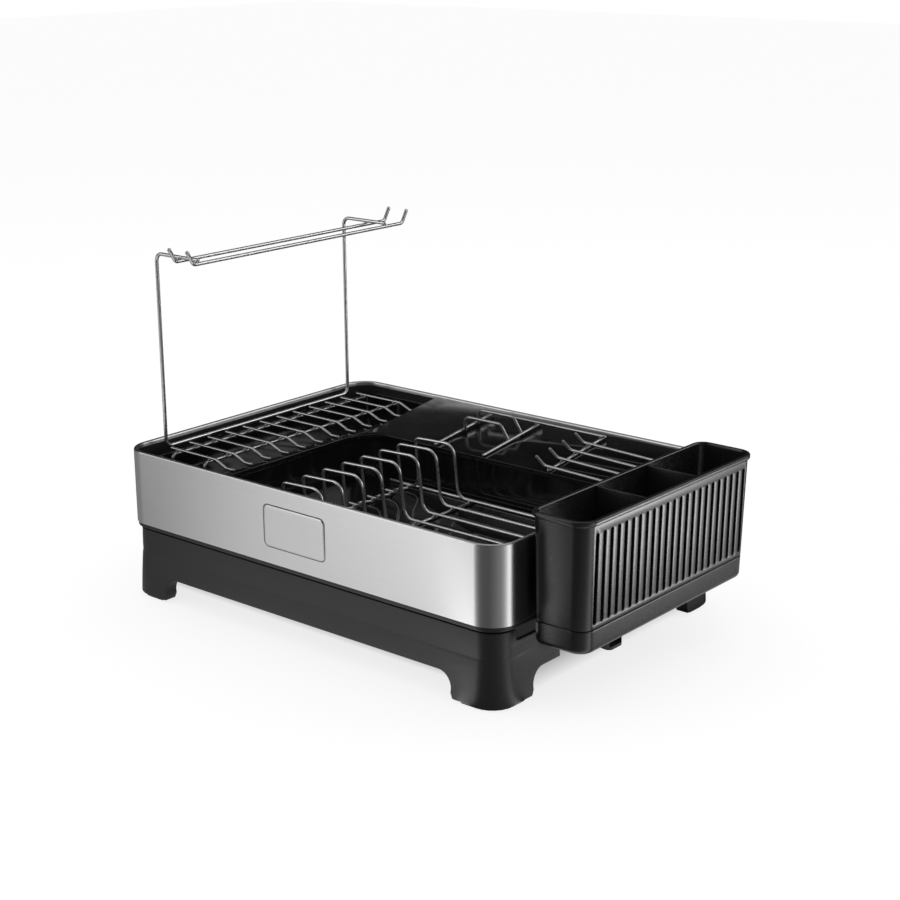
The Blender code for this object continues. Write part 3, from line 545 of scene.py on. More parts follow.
# %% Cut and soften
def block(outline, start, end, plane):
    """A flat outline in plane XZ or YZ or XY, thickened across it, as places in the frame."""
    place = {"XZ": lambda a, b, c: at(a, c, b), "YZ": lambda a, b, c: at(c, a, b),
             "XY": lambda a, b, c: at(a, b, c)}[plane]
    return skin([[place(a, b, level) for a, b in outline] for level in (start, end)])


def cut(mesh, tools):
    """The mesh after each tool is cut away from it."""
    for tool in tools:
        thing = linked("cut", mesh)
        knife = linked("knife", tool)
        modifier = thing.modifiers.new("cut", "BOOLEAN")
        modifier.solver = "EXACT"
        modifier.object = knife
        mesh = evaluated_mesh(thing)
        bpy.data.objects.remove(knife)
    return mesh


def soften(mesh, width, segments=2, angle=40):
    """The mesh with its flat faces joined up again and its edges rounded."""
    thing = linked("soft", mended(mesh, join_flat=True))
    modifier = thing.modifiers.new("soft", "BEVEL")
    modifier.width = width * MM
    modifier.segments = segments
    modifier.limit_method = "ANGLE"
    modifier.angle_limit = math.radians(angle)
    return evaluated_mesh(thing)


# %% [markdown]
# ## The base
#
# The base is two mouldings that meet in a dark groove. The upper one is a ring: a lip that the
# band stands on, a lining inside the band, and a ledge that carries the liner. The lower one
# is a skirt that flares a little to its feet, with a faint crease below its middle.

# %% Rim ring
rim_low, rim_high = span("base_rim")
COLLAR = 9.0
# Insets from the band's outer face, and heights: round the lip, the lining, the ledge, the collar.
rim_section = [(6.0, 69.7), *rounded_corner((1.0, 69.7), (1.8, 69.7), (1.0, 70.5)),
               *rounded_corner((1.0, 73.7), (1.0, 73.1), (1.6, 73.7)), (1.6, rim_high.z),
               (4.0, rim_high.z), (4.0, 76.4), (23.0, 76.4), (23.0, 73.4), (COLLAR, 73.4),
               (COLLAR, rim_low.z), (6.0, rim_low.z)]
rim_ring = new_piece("rim_ring", ring(rim_section), base_plastic)
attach(rim_ring, "base")
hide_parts("base_rim")

# %% [markdown]
# The skirt's arches leave a leg at each corner. Their upper corners are generous curves, and
# the right end has a long notch under the groove and a doorway for the spout. These are cut
# from the ring, and the bevel then gives every cut edge the small radius of a moulding.

# %% Skirt with its legs
skirt_low, skirt_high = span("base_skirt")
face_and_crease = [(3.8, 58.0), (3.62, 50.0), (3.7, 44.6), (3.7, 44.0), (3.22, 42.4),
                   (3.1, 41.6), (2.6, 36.0), (1.4, 20.0)]
LEG_DEPTH, SKIRT_BACK = 14.0, 7.0
foot, top = skirt_low.z, skirt_high.z
skirt_section = [*rounded_corner((4.0, top), (4.8, top), (4.0, top - 0.8)), *face_and_crease,
                 *rounded_corner((0.2, foot), (0.5, foot + 1.8), (2.2, foot)), (LEG_DEPTH, foot),
                 (LEG_DEPTH, 28.0), (SKIRT_BACK, 28.0), (SKIRT_BACK, 61.2), (COLLAR, 64.2),
                 (COLLAR, top)]
ARCH_TOP, ARCH_LEAN, ARCH_RADIUS, ARCH_STEPS = 25.0, 6.0, 14.0, 10
FRONT_LEG, END_LEG, PAST = 47.0, 46.5, 6.0


def arch_outline(half_width):
    """An arch between two legs: leaning sides and rounded upper corners."""
    lean = math.atan2(ARCH_LEAN, ARCH_TOP)
    reach = ARCH_RADIUS * math.tan((math.pi / 2 + lean) / 2 - lean)
    centre_x, centre_z = half_width - ARCH_LEAN - reach, ARCH_TOP - ARCH_RADIUS
    side = [(half_width, -20.0), (half_width, 0.0)]
    for step in range(ARCH_STEPS + 1):
        turn = (math.pi / 2 + lean) * step / ARCH_STEPS - lean
        side.append((centre_x + ARCH_RADIUS * math.cos(turn),
                     centre_z + ARCH_RADIUS * math.sin(turn)))
    return side + [(-x, z) for x, z in reversed(side)]


front_arch = block(arch_outline(half_x - FRONT_LEG), -half_y - PAST, half_y + PAST, "XZ")
end_arch = block(arch_outline(half_y - END_LEG), -half_x - PAST, half_x + PAST, "YZ")
NOTCH_HALF, DOOR_Y, DOOR_HALF = 137.5, -52.0, 27.0
notch = block(rounded_rectangle(-NOTCH_HALF, NOTCH_HALF, 57, 75, [4.2, 4.2, 0.1, 0.1]),
              half_x - LEG_DEPTH, half_x + PAST, "YZ")
doorway = block(rounded_rectangle(DOOR_Y - DOOR_HALF, DOOR_Y + DOOR_HALF, -PAST, 52.5,
                                  [0.1, 0.1, 3, 3]), half_x - 20, half_x + PAST, "YZ")
skirt_mesh = cut(ring(skirt_section), [front_arch, end_arch, notch, doorway])
skirt = new_piece("leg_skirt", soften(skirt_mesh, 0.9, 3), base_plastic)
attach(skirt, "base")
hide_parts("base_skirt")

# %% [markdown]
# ## CAD pieces that keep their shape
#
# The liner, the bracket, the spout, the clips and the small parts of the caddy already have
# their shape in the CAD. A softened copy of each catches light along its edges as a moulding
# does. The rubber pads only get their material.

# %% Softened copies
PLASTICS = {"base_plastic": base_plastic, "caddy_plastic": caddy_plastic,
            "liner_plastic": liner_plastic}


def softened_copy(node, name, body, slot, width, segments=2, angle=32):
    """A copy of a CAD node with rounded edges, in its place."""
    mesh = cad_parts[node].data.copy()
    piece = new_piece(name, soften(mesh, width, segments, angle), PLASTICS[slot])
    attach(piece, body)
    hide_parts(node)


for node, name, width in (("drain_tray", "well", 1.2), ("glass_shelf", "glass_trough", 0.9),
                          ("cup_shelf", "cup_slope", 0.9)):
    softened_copy(node, name, "liner", "liner_plastic", width, 3, 50)
for number in (1, 2):
    softened_copy(f"stemware_clip_{number}", f"holder_clip_{number}", "liner", "liner_plastic", 0.4)
    softened_copy(f"caddy_hook_{number}", f"caddy_hanger_{number}", "caddy", "caddy_plastic", 0.6)
    softened_copy(f"caddy_divider_{number}", f"caddy_wall_{number}", "caddy", "caddy_plastic", 0.5)
softened_copy("spout_bracket", "spout_carrier", "base", "base_plastic", 0.5)
softened_copy("drain_spout", "swing_spout", "spout", "base_plastic", 0.5)
for node in numbered("foot_pad", 4):
    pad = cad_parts[node]
    pad.data.materials.clear()
    pad.data.materials.append(pad_rubber)

# %% [markdown]
# ## Wires
#
# Each rack is bent from wire of one thickness. The tree rounds each corner of a path by the
# radius that its point carries, runs a circle along it, and puts a small ball on both ends,
# where the real wire is dressed smooth. All wires of one kind go through it together.

# %% The wire tree
wire_tree = Tree("bent wire", Thickness="size", Ball="size", Bend_Steps="count")
carried = wire_tree.node("GeometryNodeInputRadius", {})
bent = wire_tree.node("GeometryNodeFilletCurve",
                      {"Curve": "Geometry", "Count": "Bend_Steps", "Radius": carried,
                       "Limit Radius": True}, mode="POLY")
even = wire_tree.node("GeometryNodeSetCurveRadius", {"Curve": bent, "Radius": 1.0})
circle = wire_tree.node("GeometryNodeCurvePrimitiveCircle",
                        {"Resolution": 12, "Radius": wire_tree.half("Thickness")})
rod = wire_tree.node("GeometryNodeCurveToMesh",
                     {"Curve": even, "Profile Curve": circle, "Fill Caps": True})
ball = wire_tree.node("GeometryNodeMeshUVSphere",
                      {"Segments": 12, "Rings": 8, "Radius": wire_tree.half("Ball")})
ends = wire_tree.node("GeometryNodeCurveEndpointSelection", {"Start Size": 1, "End Size": 1})
tips = wire_tree.node("GeometryNodeInstanceOnPoints",
                      {"Points": even, "Selection": ends, "Instance": ball})
both = wire_tree.group.nodes.new("GeometryNodeJoinGeometry")
for part in (rod, tips):
    wire_tree.group.links.new(part, both.inputs[0])
wire_tree.close(both.outputs[0])
FRAME_WIRE, RACK_WIRE, WIRE_GAP = 3.5, 3.0, 0.3


def across_rows(profile, rows):
    """A path of (x, z, bend radius) corners, once for each row's y."""
    return [[(x, y, z, bend) for x, z, bend in profile] for y in rows]


def wires(name, body, nodes, paths, finish=bright_wire, thickness=RACK_WIRE, ball=None):
    """Wires through corners of (x, y, z, bend radius) in millimetres, as one piece."""
    corners = [[(*at(x, y, z), bend * MM) for x, y, z, bend in path] for path in paths]
    mesh = wire_tree.run(name, poly_curve(name, corners), Thickness=thickness * MM,
                         Ball=(ball or thickness) * MM, Bend_Steps=7)
    piece = new_piece(name, mesh, finish, 60)
    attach(piece, body)
    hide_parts(*nodes)


# %% [markdown]
# Crossing wires are spot-welded, which leaves a small flattened bead. The beads are one shape
# repeated on points, so a second, shorter tree makes them.

# %% The weld tree
weld_tree = Tree("weld beads", Size="size")
bead = weld_tree.node("GeometryNodeMeshIcoSphere",
                      {"Radius": weld_tree.half("Size"), "Subdivisions": 2})
weld_tree.close(weld_tree.node("GeometryNodeInstanceOnPoints",
                               {"Points": "Geometry", "Instance": bead, "Scale": (1.0, 1.0, 0.8)}))


def welds(name, body, places, finish=bright_wire, size=4.0):
    """Beads where wires cross, at places in the frame."""
    points = bpy.data.meshes.new(name)
    points.from_pydata([tuple(place) for place in places], [], [])
    piece = new_piece(name, weld_tree.run(name, points, Size=size * MM), finish, 60)
    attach(piece, body)


# %% [markdown]
# ## The plate rack
#
# Eight hoops stand in a row. Each starts as a short foot, rises, leans over the plate beside it
# and runs on as a long tail that plates lie along. A wavy wire ties the feet together. The rows
# are read from the CAD.

# %% Plate rack
TOP, TOP_RISE, HOOP_FLOOR, CARRIER = 140.0, 2.0, 90.5, 87.2
hoop_nodes = numbered("plate_loop", 8)
hoop_rows = [centre_of(node).y for node in hoop_nodes]
hoop = [(-58, HOOP_FLOOR, 0), (-38, HOOP_FLOOR, 10), (-42.6, TOP, 5), (5, TOP + TOP_RISE, 12),
        (11.5, HOOP_FLOOR, 10), (span("plate_loop_1")[1].x, HOOP_FLOOR, 0)]
wires("plate_hoops", "plate_rack", hoop_nodes, across_rows(hoop, hoop_rows))
cross_nodes = numbered("plate_cross_wire", 2)
cross_x = [centre_of(node).x for node in cross_nodes]
cross_low, cross_high = span("plate_cross_wire_1")
wires("plate_cross_wires", "plate_rack", cross_nodes,
      [[(x, cross_low.y, CARRIER, 0), (x, cross_high.y, CARRIER, 0)] for x in cross_x])
PITCH = hoop_rows[1] - hoop_rows[0]
WAVE_X, WAVE_REACH, WAVE_STEPS = -52, 3, 8
wave = []
for step in range(WAVE_STEPS * (len(hoop_rows) - 1) + 1):
    turns = step / WAVE_STEPS
    wave.append((WAVE_X - WAVE_REACH * (1 - math.cos(2 * math.pi * turns)),
                 hoop_rows[0] + PITCH * turns, CARRIER, 0))
wires("plate_wavy_wire_bright", "plate_rack", ["plate_wavy_wire"], [wave])
back_low, back_high = span("plate_back_wire")
back_y = centre_of("plate_back_wire").y
wires("plate_back_wire_bright", "plate_rack", ["plate_back_wire"],
      [[(back_low.x, back_y, CARRIER, 0), (back_high.x, back_y, CARRIER, 0)]])
welds("plate_rack_welds", "plate_rack",
      [at(x, y, (HOOP_FLOOR + CARRIER) / 2) for y in hoop_rows for x in (WAVE_X, *cross_x)])

# %% [markdown]
# ## The glass rest
#
# Twelve bars lie across the left trough on two legged carriers, and step down onto its lip, so
# that upturned glasses drain into the trough.

# %% Glass rest
bar_nodes = numbered("glass_bar", 12)
bar_rows = [centre_of(node).y for node in bar_nodes]
PLATEAU, LANDING = 138.6, 132.8
bar = [(-203, PLATEAU, 0), (-143, PLATEAU, 7), (-129, LANDING, 7), (-120, LANDING, 0)]
wires("glass_bars", "glass_rest", bar_nodes, across_rows(bar, bar_rows), shade_painted_wire)
carrier_nodes = numbered("glass_carrier", 2)
carriers = []
for node in carrier_nodes:
    low, high = span(node)
    x = centre_of(node).x
    near, far = low.y + RACK_WIRE / 2, high.y - RACK_WIRE / 2
    top, foot = high.z - RACK_WIRE / 2, low.z + RACK_WIRE / 2
    carriers.append([(x, near, foot, 0), (x, near, top, 5), (x, far, top, 5), (x, far, foot, 0)])
wires("glass_rest_carriers", "glass_rest", carrier_nodes, carriers, shade_painted_wire)
weld_z = PLATEAU - (RACK_WIRE + WIRE_GAP) / 2
welds("glass_rest_welds", "glass_rest",
      [at(carrier[0][0], y, weld_z) for carrier in carriers for y in bar_rows], shade_painted_wire)

# %% [markdown]
# ## The cup rack
#
# The shelf at the back rises towards the rim, and its wires follow the slope: three runners with
# a wire that ties them together along the back, four pegs hooked up at their left ends, and two
# hoops that cups lean on. Places along the slope are turned by its angle.

# %% Cup rack
SLOPE_FOOT, SLOPE_RISE, SLOPE_RUN = (58.0, 130.0), 13.5, 103.5
slope = math.atan2(SLOPE_RISE, SLOPE_RUN)


def on_slope(x, along, up, bend=0):
    """A corner of a wire, from its distance up the slope and its height over the shelf."""
    y = SLOPE_FOOT[0] + along * math.cos(slope) - up * math.sin(slope)
    z = SLOPE_FOOT[1] + along * math.sin(slope) + up * math.cos(slope)
    return (x, y, z, bend)


def up_slope(profile, rows):
    """A path of (x, height over the shelf, bend radius) corners, once for each row."""
    return [[on_slope(x, along, up, bend) for x, up, bend in profile] for along in rows]


LOW_WIRE, HIGH_WIRE = 1.8, 5.1
RUNNER_X, RUNNER_START, RUNNER_END, TIE_ALONG = (-31, 28.5, 105.5), 1.5, 92, 86.0
wires("cup_runners", "cup_rack", numbered("cup_runner", 3),
      [[on_slope(x, RUNNER_START, LOW_WIRE), on_slope(x, RUNNER_END, LOW_WIRE)]
       for x in RUNNER_X], shade_painted_wire)
tie = [(RUNNER_X[0] - RACK_WIRE, HIGH_WIRE, 0), (RUNNER_X[2] + RACK_WIRE, HIGH_WIRE, 0)]
wires("cup_tie_wire_shaded", "cup_rack", ["cup_tie_wire"], up_slope(tie, [TIE_ALONG]), shade_painted_wire)
FIRST_PEG, PEG_PITCH, PEG_HOOK, CUP_HOOP = 2.8, 20.6, 7.3, 11
peg_rows = [FIRST_PEG + PEG_PITCH * index for index in range(4)]
peg = [(92, HIGH_WIRE + PEG_HOOK, 0), (100, HIGH_WIRE + WIRE_GAP, 7), (203, LOW_WIRE, 0)]
wires("cup_pegs", "cup_rack", numbered("cup_peg", 4), up_slope(peg, peg_rows), shade_painted_wire)
hoop_top = HIGH_WIRE + CUP_HOOP
cup_hoop = [(-27.7, LOW_WIRE, 0), (-27.7, hoop_top, 7), (17.2, hoop_top, 7), (25.2, LOW_WIRE, 0)]
far_rows = [peg_rows[3], peg_rows[2]]
wires("cup_hoops", "cup_rack", numbered("cup_loop", 2), up_slope(cup_hoop, far_rows), shade_painted_wire)
between = (LOW_WIRE + HIGH_WIRE) / 2
cup_welds = [on_slope(RUNNER_X[2], along, between) for along in peg_rows]
cup_welds += [on_slope(x, TIE_ALONG, between) for x in RUNNER_X]
cup_welds += [on_slope(x, along, LOW_WIRE) for x in (-29.3, 26.8) for along in far_rows]
welds("cup_rack_welds", "cup_rack", [at(*place[:3]) for place in cup_welds], shade_painted_wire)

# %% [markdown]
# ## The stemware holder
#
# One thicker wire makes the foot, both posts and both arms. Two rails lie across the arms with
# their ends turned up, so that a stem slides in and can't slide out.

# %% Stemware holder
low, high = span("stemware_frame")
post_x, arm_x = low.x + FRAME_WIRE / 2, high.x - FRAME_WIRE / 2
near, far = low.y + FRAME_WIRE / 2, high.y - FRAME_WIRE / 2
foot, ARM_Z = low.z + FRAME_WIRE / 2, 325.0
wires("stemware_post_wire", "stemware_holder", ["stemware_frame"],
      [[(arm_x, near, ARM_Z, 0), (post_x, near, ARM_Z, 7), (post_x, near, foot, 7),
        (post_x, far, foot, 7), (post_x, far, ARM_Z, 7), (arm_x, far, ARM_Z, 0)]],
      thickness=FRAME_WIRE)
RAIL_X, RAIL_START, RAIL_END, TURN_OUT, TURN_UP = (-180, -156), -136.0, 163.0, 7, 11.8
rail_z = ARM_Z - FRAME_WIRE - WIRE_GAP
rails = [[(x, RAIL_START, rail_z + TURN_UP, 0), (x, RAIL_START + TURN_OUT, rail_z, 5),
          (x, RAIL_END - TURN_OUT, rail_z, 5), (x, RAIL_END, rail_z + TURN_UP, 0)]
         for x in RAIL_X]
wires("stemware_rails", "stemware_holder", numbered("stemware_rail", 2), rails,
      thickness=FRAME_WIRE, ball=3.9)
welds("stemware_welds", "stemware_holder",
      [at(x, y, (ARM_Z + rail_z) / 2) for x in RAIL_X for y in (near, far)], size=4.6)

# %% [markdown]
# ## The caddy
#
# A thin moulding that narrows slightly downwards on its outer sides, with a rounded lip round
# its mouth and a row of tall slots for air in its long face. The skin runs up the outside, over
# the lip and down the inside. The slots are one cutter, repeated along a line by a tree.

# %% Caddy shell
shell_low, shell_high = span("caddy_body")
cup_low, cup_high = span("caddy_drip_cup")
LIP, DRAFT, INNER_CORNER, OUTER_CORNER = 2.0, 2.7, 10, 14
left, right = shell_low.x + LIP, shell_high.x - LIP
near, far = shell_low.y + LIP, shell_high.y - LIP
mouth, seam, underside = shell_high.z, shell_low.z, cup_low.z


def caddy_rows(*rows):
    """The caddy's outline at each (height, inset). All sides but the band's lean."""
    outlines = []
    for height, inset in rows:
        lean = DRAFT * (mouth - height) / (mouth - underside)
        inner, outer = INNER_CORNER - inset, OUTER_CORNER - inset
        outline = rounded_rectangle(left + inset, right - inset - lean, near + inset + lean,
                                    far - inset - lean, [inner, outer, outer, inner], 10)
        outlines.append([at(x, y, height) for x, y in outline])
    return outlines


LIP_DEPTH, WALL, SHELL_FLOOR = 5.6, 2.05, 2.5
sides = [(seam + (mouth - LIP_DEPTH - seam) * step / 4, 0) for step in range(1, 5)]
lip_profile = [(5.2, -0.3), (4.9, -1.1), (4.4, -1.7), (3.6, -2.0), (1.6, -2.0), (0.9, -1.8),
               (0.35, -1.3), (0.05, -0.6), (0, 0.2), (0, 1.0), (0.25, 1.6), (0.9, 2.0),
               (3.0, WALL)]
shell_mesh = skin(caddy_rows((seam, 0.7), (seam + 0.5, 0.15), (seam + 1.2, 0), *sides,
                             *((mouth - below, inset) for below, inset in lip_profile),
                             (seam + SHELL_FLOOR, WALL)))

# %% [markdown]
# The slot cutter is a tall rounded prism. The tree repeats it along the caddy, and the same
# tree serves the short drain slots in the floor.

# %% Slots
row_tree = Tree("row of cutters", Count="count", Step="size")
offset = row_tree.node("ShaderNodeCombineXYZ", {"Y": "Step"})
line = row_tree.node("GeometryNodeMeshLine", {"Count": "Count", "Offset": offset}, mode="OFFSET")
row_tree.close(row_tree.node("GeometryNodeInstanceOnPoints",
                             {"Points": line, "Instance": "Geometry"}))
centre_y = (near + far) / 2
SLOTS, SLOT_STEP, SLOT_HALF, SLOT_LOW, SLOT_HIGH = 23, 10.0, 2.2, 78.5, 157
DRAINS, DRAIN_STEP, DRAIN_HALF, DRAIN_REACH = 11, 20.0, 2, 17


def row_of(cutter, count, step):
    return row_tree.run("row", cutter, Count=count, Step=step * MM)


slot_y = centre_y - SLOT_STEP * (SLOTS - 1) / 2
slot = block(rounded_rectangle(slot_y - SLOT_HALF, slot_y + SLOT_HALF, SLOT_LOW, SLOT_HIGH,
                               [SLOT_HALF - 0.05] * 4, 5), right - 8, right + PAST, "YZ")
drain_y = centre_y - DRAIN_STEP * (DRAINS - 1) / 2
floor_x = (left + right - DRAFT) / 2
drain = block(rounded_rectangle(floor_x - DRAIN_REACH, floor_x + DRAIN_REACH,
                                drain_y - DRAIN_HALF, drain_y + DRAIN_HALF,
                                [DRAIN_HALF - 0.1] * 4, 4), seam - 4, seam + PAST, "XY")
shell_mesh = cut(shell_mesh,
                 [row_of(slot, SLOTS, SLOT_STEP), row_of(drain, DRAINS, DRAIN_STEP)])
shell = new_piece("caddy_shell", soften(shell_mesh, 0.35, 2, 50), caddy_plastic, 30)
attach(shell, "caddy")
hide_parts("caddy_body")

# %% [markdown]
# ## The drip cup
#
# A shallow cup that hangs under the caddy and shows as its lower band, below a fine seam. A row
# of points just inside each rounded edge keeps the sides between them flat.

# %% Drip cup
rim = cup_high.z
CUP_ROUND, ROUND_STEPS, CUP_WALL, CUP_FLOOR = 5.0, 6, 2.0, 2.5
turns = [math.pi / 2 * step / ROUND_STEPS for step in range(ROUND_STEPS + 1)]
cup_mesh = skin(caddy_rows(
    *((underside + CUP_ROUND * (1 - math.cos(turn)), CUP_ROUND * (1 - math.sin(turn)))
      for turn in turns),
    (underside + CUP_ROUND + 1, 0), (rim - 1.5, 0), (rim - 0.5, 0), (rim - 0.1, 0.25),
    (rim, 0.7), (rim, 1.8), (rim - 0.4, CUP_WALL), (underside + CUP_ROUND + 1, CUP_WALL),
    (underside + 3.4, 3.4), (underside + CUP_FLOOR, 6.0)))
drip_cup = new_piece("caddy_cup", cup_mesh, caddy_plastic)
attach(drip_cup, "drip_cup")
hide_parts("caddy_drip_cup")

# %% [markdown]
# ## Floor and backdrop
#
# A white product shot: the floor reads as white to the camera and keeps the drainer's soft
# shadow. Steel only shows its form through what it reflects, so the floor and the walls of the
# studio have bright and dark stretches for reflections, set out by the direction in which they
# lie from the drainer's front right corner. The front face looks at a bright stretch that fades
# to the left, and the corner runs through a dark one, a bright strip and a dark one again.

# %% Directions round the drainer
# Degrees round from straight ahead of the front, positive to the right, and how bright it is.
CORNER_STRETCHES = [(28, 0.09), (45, 0.15), (62, 0.23), (74, 0.28), (84, 0.50), (92, 0.80),
                    (98, 1.5), (109, 1.7), (113, 0.08), (117, 0.02), (124, 0.02)]
FLOOR_LEFT = [(-180, 0.30), (-120, 0.30), (-90, 1.0), (-42, 0.97), (-39.3, 1.02), (-37, 2.35),
              (-34, 2.6), (-30, 2.0), (-16, 1.3), (-12, 0.0), (176, 0.0), (180, 0.30)]
FLOOR_RIGHT = [(-36, 0.0), (-28, 0.09), *CORNER_STRETCHES, (170, 0.02), (176, 0.0)]
WALL_STRETCHES = [(-180, 0.06), (-150, 0.03), (-100, 0.04), (-62, 0.12), (-55, 0.20),
                  (-50, 0.42), (-47.2, 0.68), (-44, 0.80), (-40.0, 0.92), (-37.5, 2.35),
                  (-34, 2.6), (-31.7, 0.5), (-28, 0.09), *CORNER_STRETCHES, (132, 0.3),
                  (155, 0.3), (180, 0.06)]
BRIGHTEST = 4.0


def axis(vector, around, letter):
    return around.node("ShaderNodeSeparateXYZ", {"Vector": vector}, letter)


def stretches(vector, around, table):
    """Brightness by direction, as a share of the brightest, from a vector at the drainer."""
    east, north = axis(vector, around, "X"), axis(vector, around, "Y")
    turn = east.maths("ARCTAN2", north * -1) * (0.5 / math.pi) + 0.5
    return ramp(turn, *[(angle / 360 + 0.5, level / BRIGHTEST) for angle, level in table])


def by_distance(signal, low, high, table):
    """A level for each distance in metres between low and high."""
    share = (signal - low) * (1 / (high - low))
    return ramp(share, *[((place - low) / (high - low), level) for place, level in table])


def by_ray(start, kind, others, those, share=1.0):
    """One shader for rays of a kind, and another for all others."""
    is_kind = start.node("ShaderNodeLightPath", {}, kind)
    return start.node("ShaderNodeMixShader", {0: is_kind * share, 1: others, 2: those})


def shown(start, kind, surface):
    out = start.tree.nodes.new(kind)
    start.tree.links.new(surface.socket, out.inputs["Surface"])


# %% [markdown]
# The floor's bright stretch ahead of the front fades to the left along straight lines that run
# the way the front's reflections run, so that the steel fades evenly from its bottom to its
# top. Beside the caddy the floor is dark close by, a painted shadow of the caddy seen only in
# reflections, and bright farther out, which gives the caddy its light upper band over a dark
# cup. Right under the drainer the white that the camera sees is darkened by a painted shadow.

# %% Floor
# Metres from the near corner, along a direction on the floor, and a share of the brightness.
LEFT_FADE = [(-0.30, 0.28), (-0.256, 0.41), (-0.216, 0.55), (-0.175, 0.69), (-0.133, 0.75),
             (-0.092, 0.76), (-0.051, 0.86), (-0.009, 0.92), (0.02, 1.0)]
STRIP_EDGE = [(0.025, 1.0), (0.037, 0.05)]
# Close to the caddy the levels are low: a painted shadow of the caddy on the floor, seen only in
# reflections.
CADDY_SHADOW_THEN_BRIGHT = [(0.05, 0.05), (0.10, 0.06), (0.145, 0.02), (0.165, 0.05), (0.19, 0.10),
                (0.235, 0.10), (0.28, 0.25), (0.31, 1.0), (0.38, 1.0), (0.45, 0.3), (0.60, 0.05)]
BEHIND = [(0.36, 1.0), (0.44, 0.86), (0.52, 0.60), (0.56, 0.47), (0.64, 0.46), (0.70, 0.40),
          (0.80, 0.05)]
BESIDE_LEVEL = 2.9
FADE_EAST, FADE_NORTH = 0.69, -0.72
EDGE_EAST, EDGE_NORTH = 0.79, -0.61
NEAR_CORNER = at(200, -141, 0)
UNDER_SHADOW_X, UNDER_SHADOW_Y = 0.215, 0.13
WHITE_SHARE, WHITE_LEVEL, MATT_GREY = 0.76, 1.06, 0.86
BESIDE_SECTOR = [(-180, 0), (120, 0), (126, BRIGHTEST), (168, BRIGHTEST), (176, 0)]


def floor_material():
    material = bpy.data.materials.new("studio_floor")
    material.use_nodes = True
    material.node_tree.nodes.clear()
    start = Signal(material.node_tree)
    place = start.node("ShaderNodeTexCoord", {}, "Object")
    apart = start.node("ShaderNodeVectorMath", {0: place, 1: NEAR_CORNER}, operation="SUBTRACT")
    east, north = axis(apart, start, "X"), axis(apart, start, "Y")
    fade = by_distance(east * FADE_EAST + north * FADE_NORTH, -0.3, 0.1, LEFT_FADE)
    edge = by_distance(east * EDGE_EAST + north * EDGE_NORTH, 0.0, 0.1, STRIP_EDGE)
    level = stretches(apart, start, FLOOR_LEFT) * fade * edge
    level += stretches(apart, start, FLOOR_RIGHT)
    shadowed_beside = by_distance(east, 0.0, 1.0, CADDY_SHADOW_THEN_BRIGHT) * by_distance(north, 0.0, 1.0, BEHIND)
    level += stretches(apart, start, BESIDE_SECTOR) * shadowed_beside * BESIDE_LEVEL
    mirrored = start.node("ShaderNodeEmission", {"Color": level, "Strength": BRIGHTEST})
    centred = start.node("ShaderNodeVectorMath", {0: place, 1: (middle.x, middle.y, 0)},
                         operation="SUBTRACT")
    # The white is darkened under the drainer: a painted shadow of the body.
    under_x = axis(centred, start, "X").maths("ABSOLUTE") * (1 / UNDER_SHADOW_X)
    under_y = axis(centred, start, "Y").maths("ABSOLUTE") * (1 / UNDER_SHADOW_Y)
    shade = ramp(under_x.maths("MAXIMUM", under_y), (0.74, 0.02), (1.0, 1.0))
    matt = start.node("ShaderNodeBsdfDiffuse", {"Color": (*[MATT_GREY] * 3, 1)})
    white = start.node("ShaderNodeEmission", {"Color": shade, "Strength": WHITE_LEVEL})
    seen = by_ray(start, "Is Camera Ray", matt, white, WHITE_SHARE)
    shown(start, "ShaderNodeOutputMaterial", by_ray(start, "Is Glossy Ray", seen, mirrored))
    return material


floor_mesh = bpy.data.meshes.new("floor")
floor_mesh.from_pydata([(-8, -8, 0), (8, -8, 0), (8, 8, 0), (-8, 8, 0)], [], [(0, 1, 2, 3)])
floor_mesh.materials.append(floor_material())
floor = linked("floor", floor_mesh)

# %% [markdown]
# The walls are the world's background. The camera sees plain white, reflections see the
# stretches, which get darker upwards, and everything else gets a soft even fill.

# %% Walls of the studio
world = bpy.data.worlds.new("studio")
scene.world = world
world.use_nodes = True
world.node_tree.nodes.clear()
start = Signal(world.node_tree)


def background(colour, strength):
    return start.node("ShaderNodeBackground", {"Color": colour, "Strength": strength})


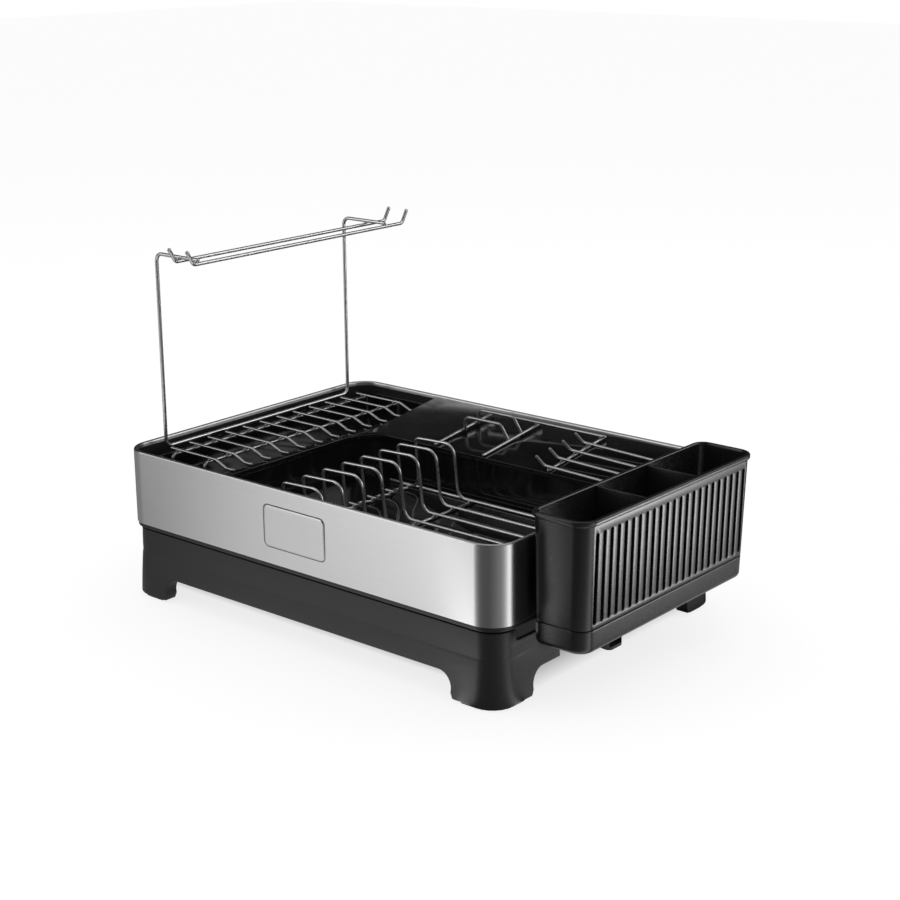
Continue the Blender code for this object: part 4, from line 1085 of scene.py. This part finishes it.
WHITE, FILL_LEVEL = (1, 1, 1, 1), 0.8
direction = start.node("ShaderNodeTexCoord", {}, "Generated")
height = ramp(axis(direction, start, "Z"), (0.10, 1.0), (0.50, 0.25))
walls = background(stretches(direction, start, WALL_STRETCHES) * height, BRIGHTEST)
unseen = by_ray(start, "Is Glossy Ray", background(WHITE, FILL_LEVEL), walls)
shown(start, "ShaderNodeOutputWorld",
      by_ray(start, "Is Camera Ray", unseen, background(WHITE, 1.0)))

# %% [markdown]
# ## Lamps
#
# A broad softbox from the front left lights the long front, one behind the right end lights the
# caddy's long face, and a wide one overhead draws the highlights along the wires and the rim.

# %% Lamps
def softbox(name, place, target, width, height, power):
    """A lit rectangle that looks at a target. Lengths in metres, power in watts."""
    lamp = bpy.data.lights.new(name, "AREA")
    lamp.shape = "RECTANGLE"
    lamp.size = width
    lamp.size_y = height
    lamp.energy = power
    thing = linked(name, lamp)
    thing.location = place
    thing.rotation_euler = (Vector(place) - Vector(target)).to_track_quat("Z", "Y").to_euler()


softbox("front_left", (-1.55, -1.55, 1.25), (0.0, 0.0, 0.1), 1.6, 1.2, 7)
softbox("back_right", (1.35, 1.45, 1.15), (0.1, 0.0, 0.1), 1.0, 1.0, 8)
softbox("overhead", (-0.15, 0.15, 1.9), (0.0, 0.0, 0.1), 2.2, 1.8, 8)

# %% [markdown]
# ## Camera
#
# The camera stands where the photograph was taken from: to the right of the front, looking down
# a little. Its turn is given as a yaw, a pitch and a very small roll.

# %% Camera
yaw, pitch, roll = (math.radians(angle) for angle in (-39.97, 16.71, 0.34))
forward = Vector((math.cos(pitch) * math.sin(yaw), math.cos(pitch) * math.cos(yaw),
                  -math.sin(pitch)))
level_right = Vector((math.cos(yaw), -math.sin(yaw), 0))
level_down = forward.cross(level_right)
right = math.cos(roll) * level_right + math.sin(roll) * level_down
down = -math.sin(roll) * level_right + math.cos(roll) * level_down
lens = bpy.data.cameras.new("camera")
lens.lens = 72.84
lens.sensor_width = 36
camera = linked("camera", lens)
turn = Matrix((right, -down, -forward)).transposed().to_4x4()
turn.translation = at(1065.0, -1226.3, 633.0)
camera.matrix_world = turn
scene.camera = camera
scene.view_settings.view_transform = "Standard"
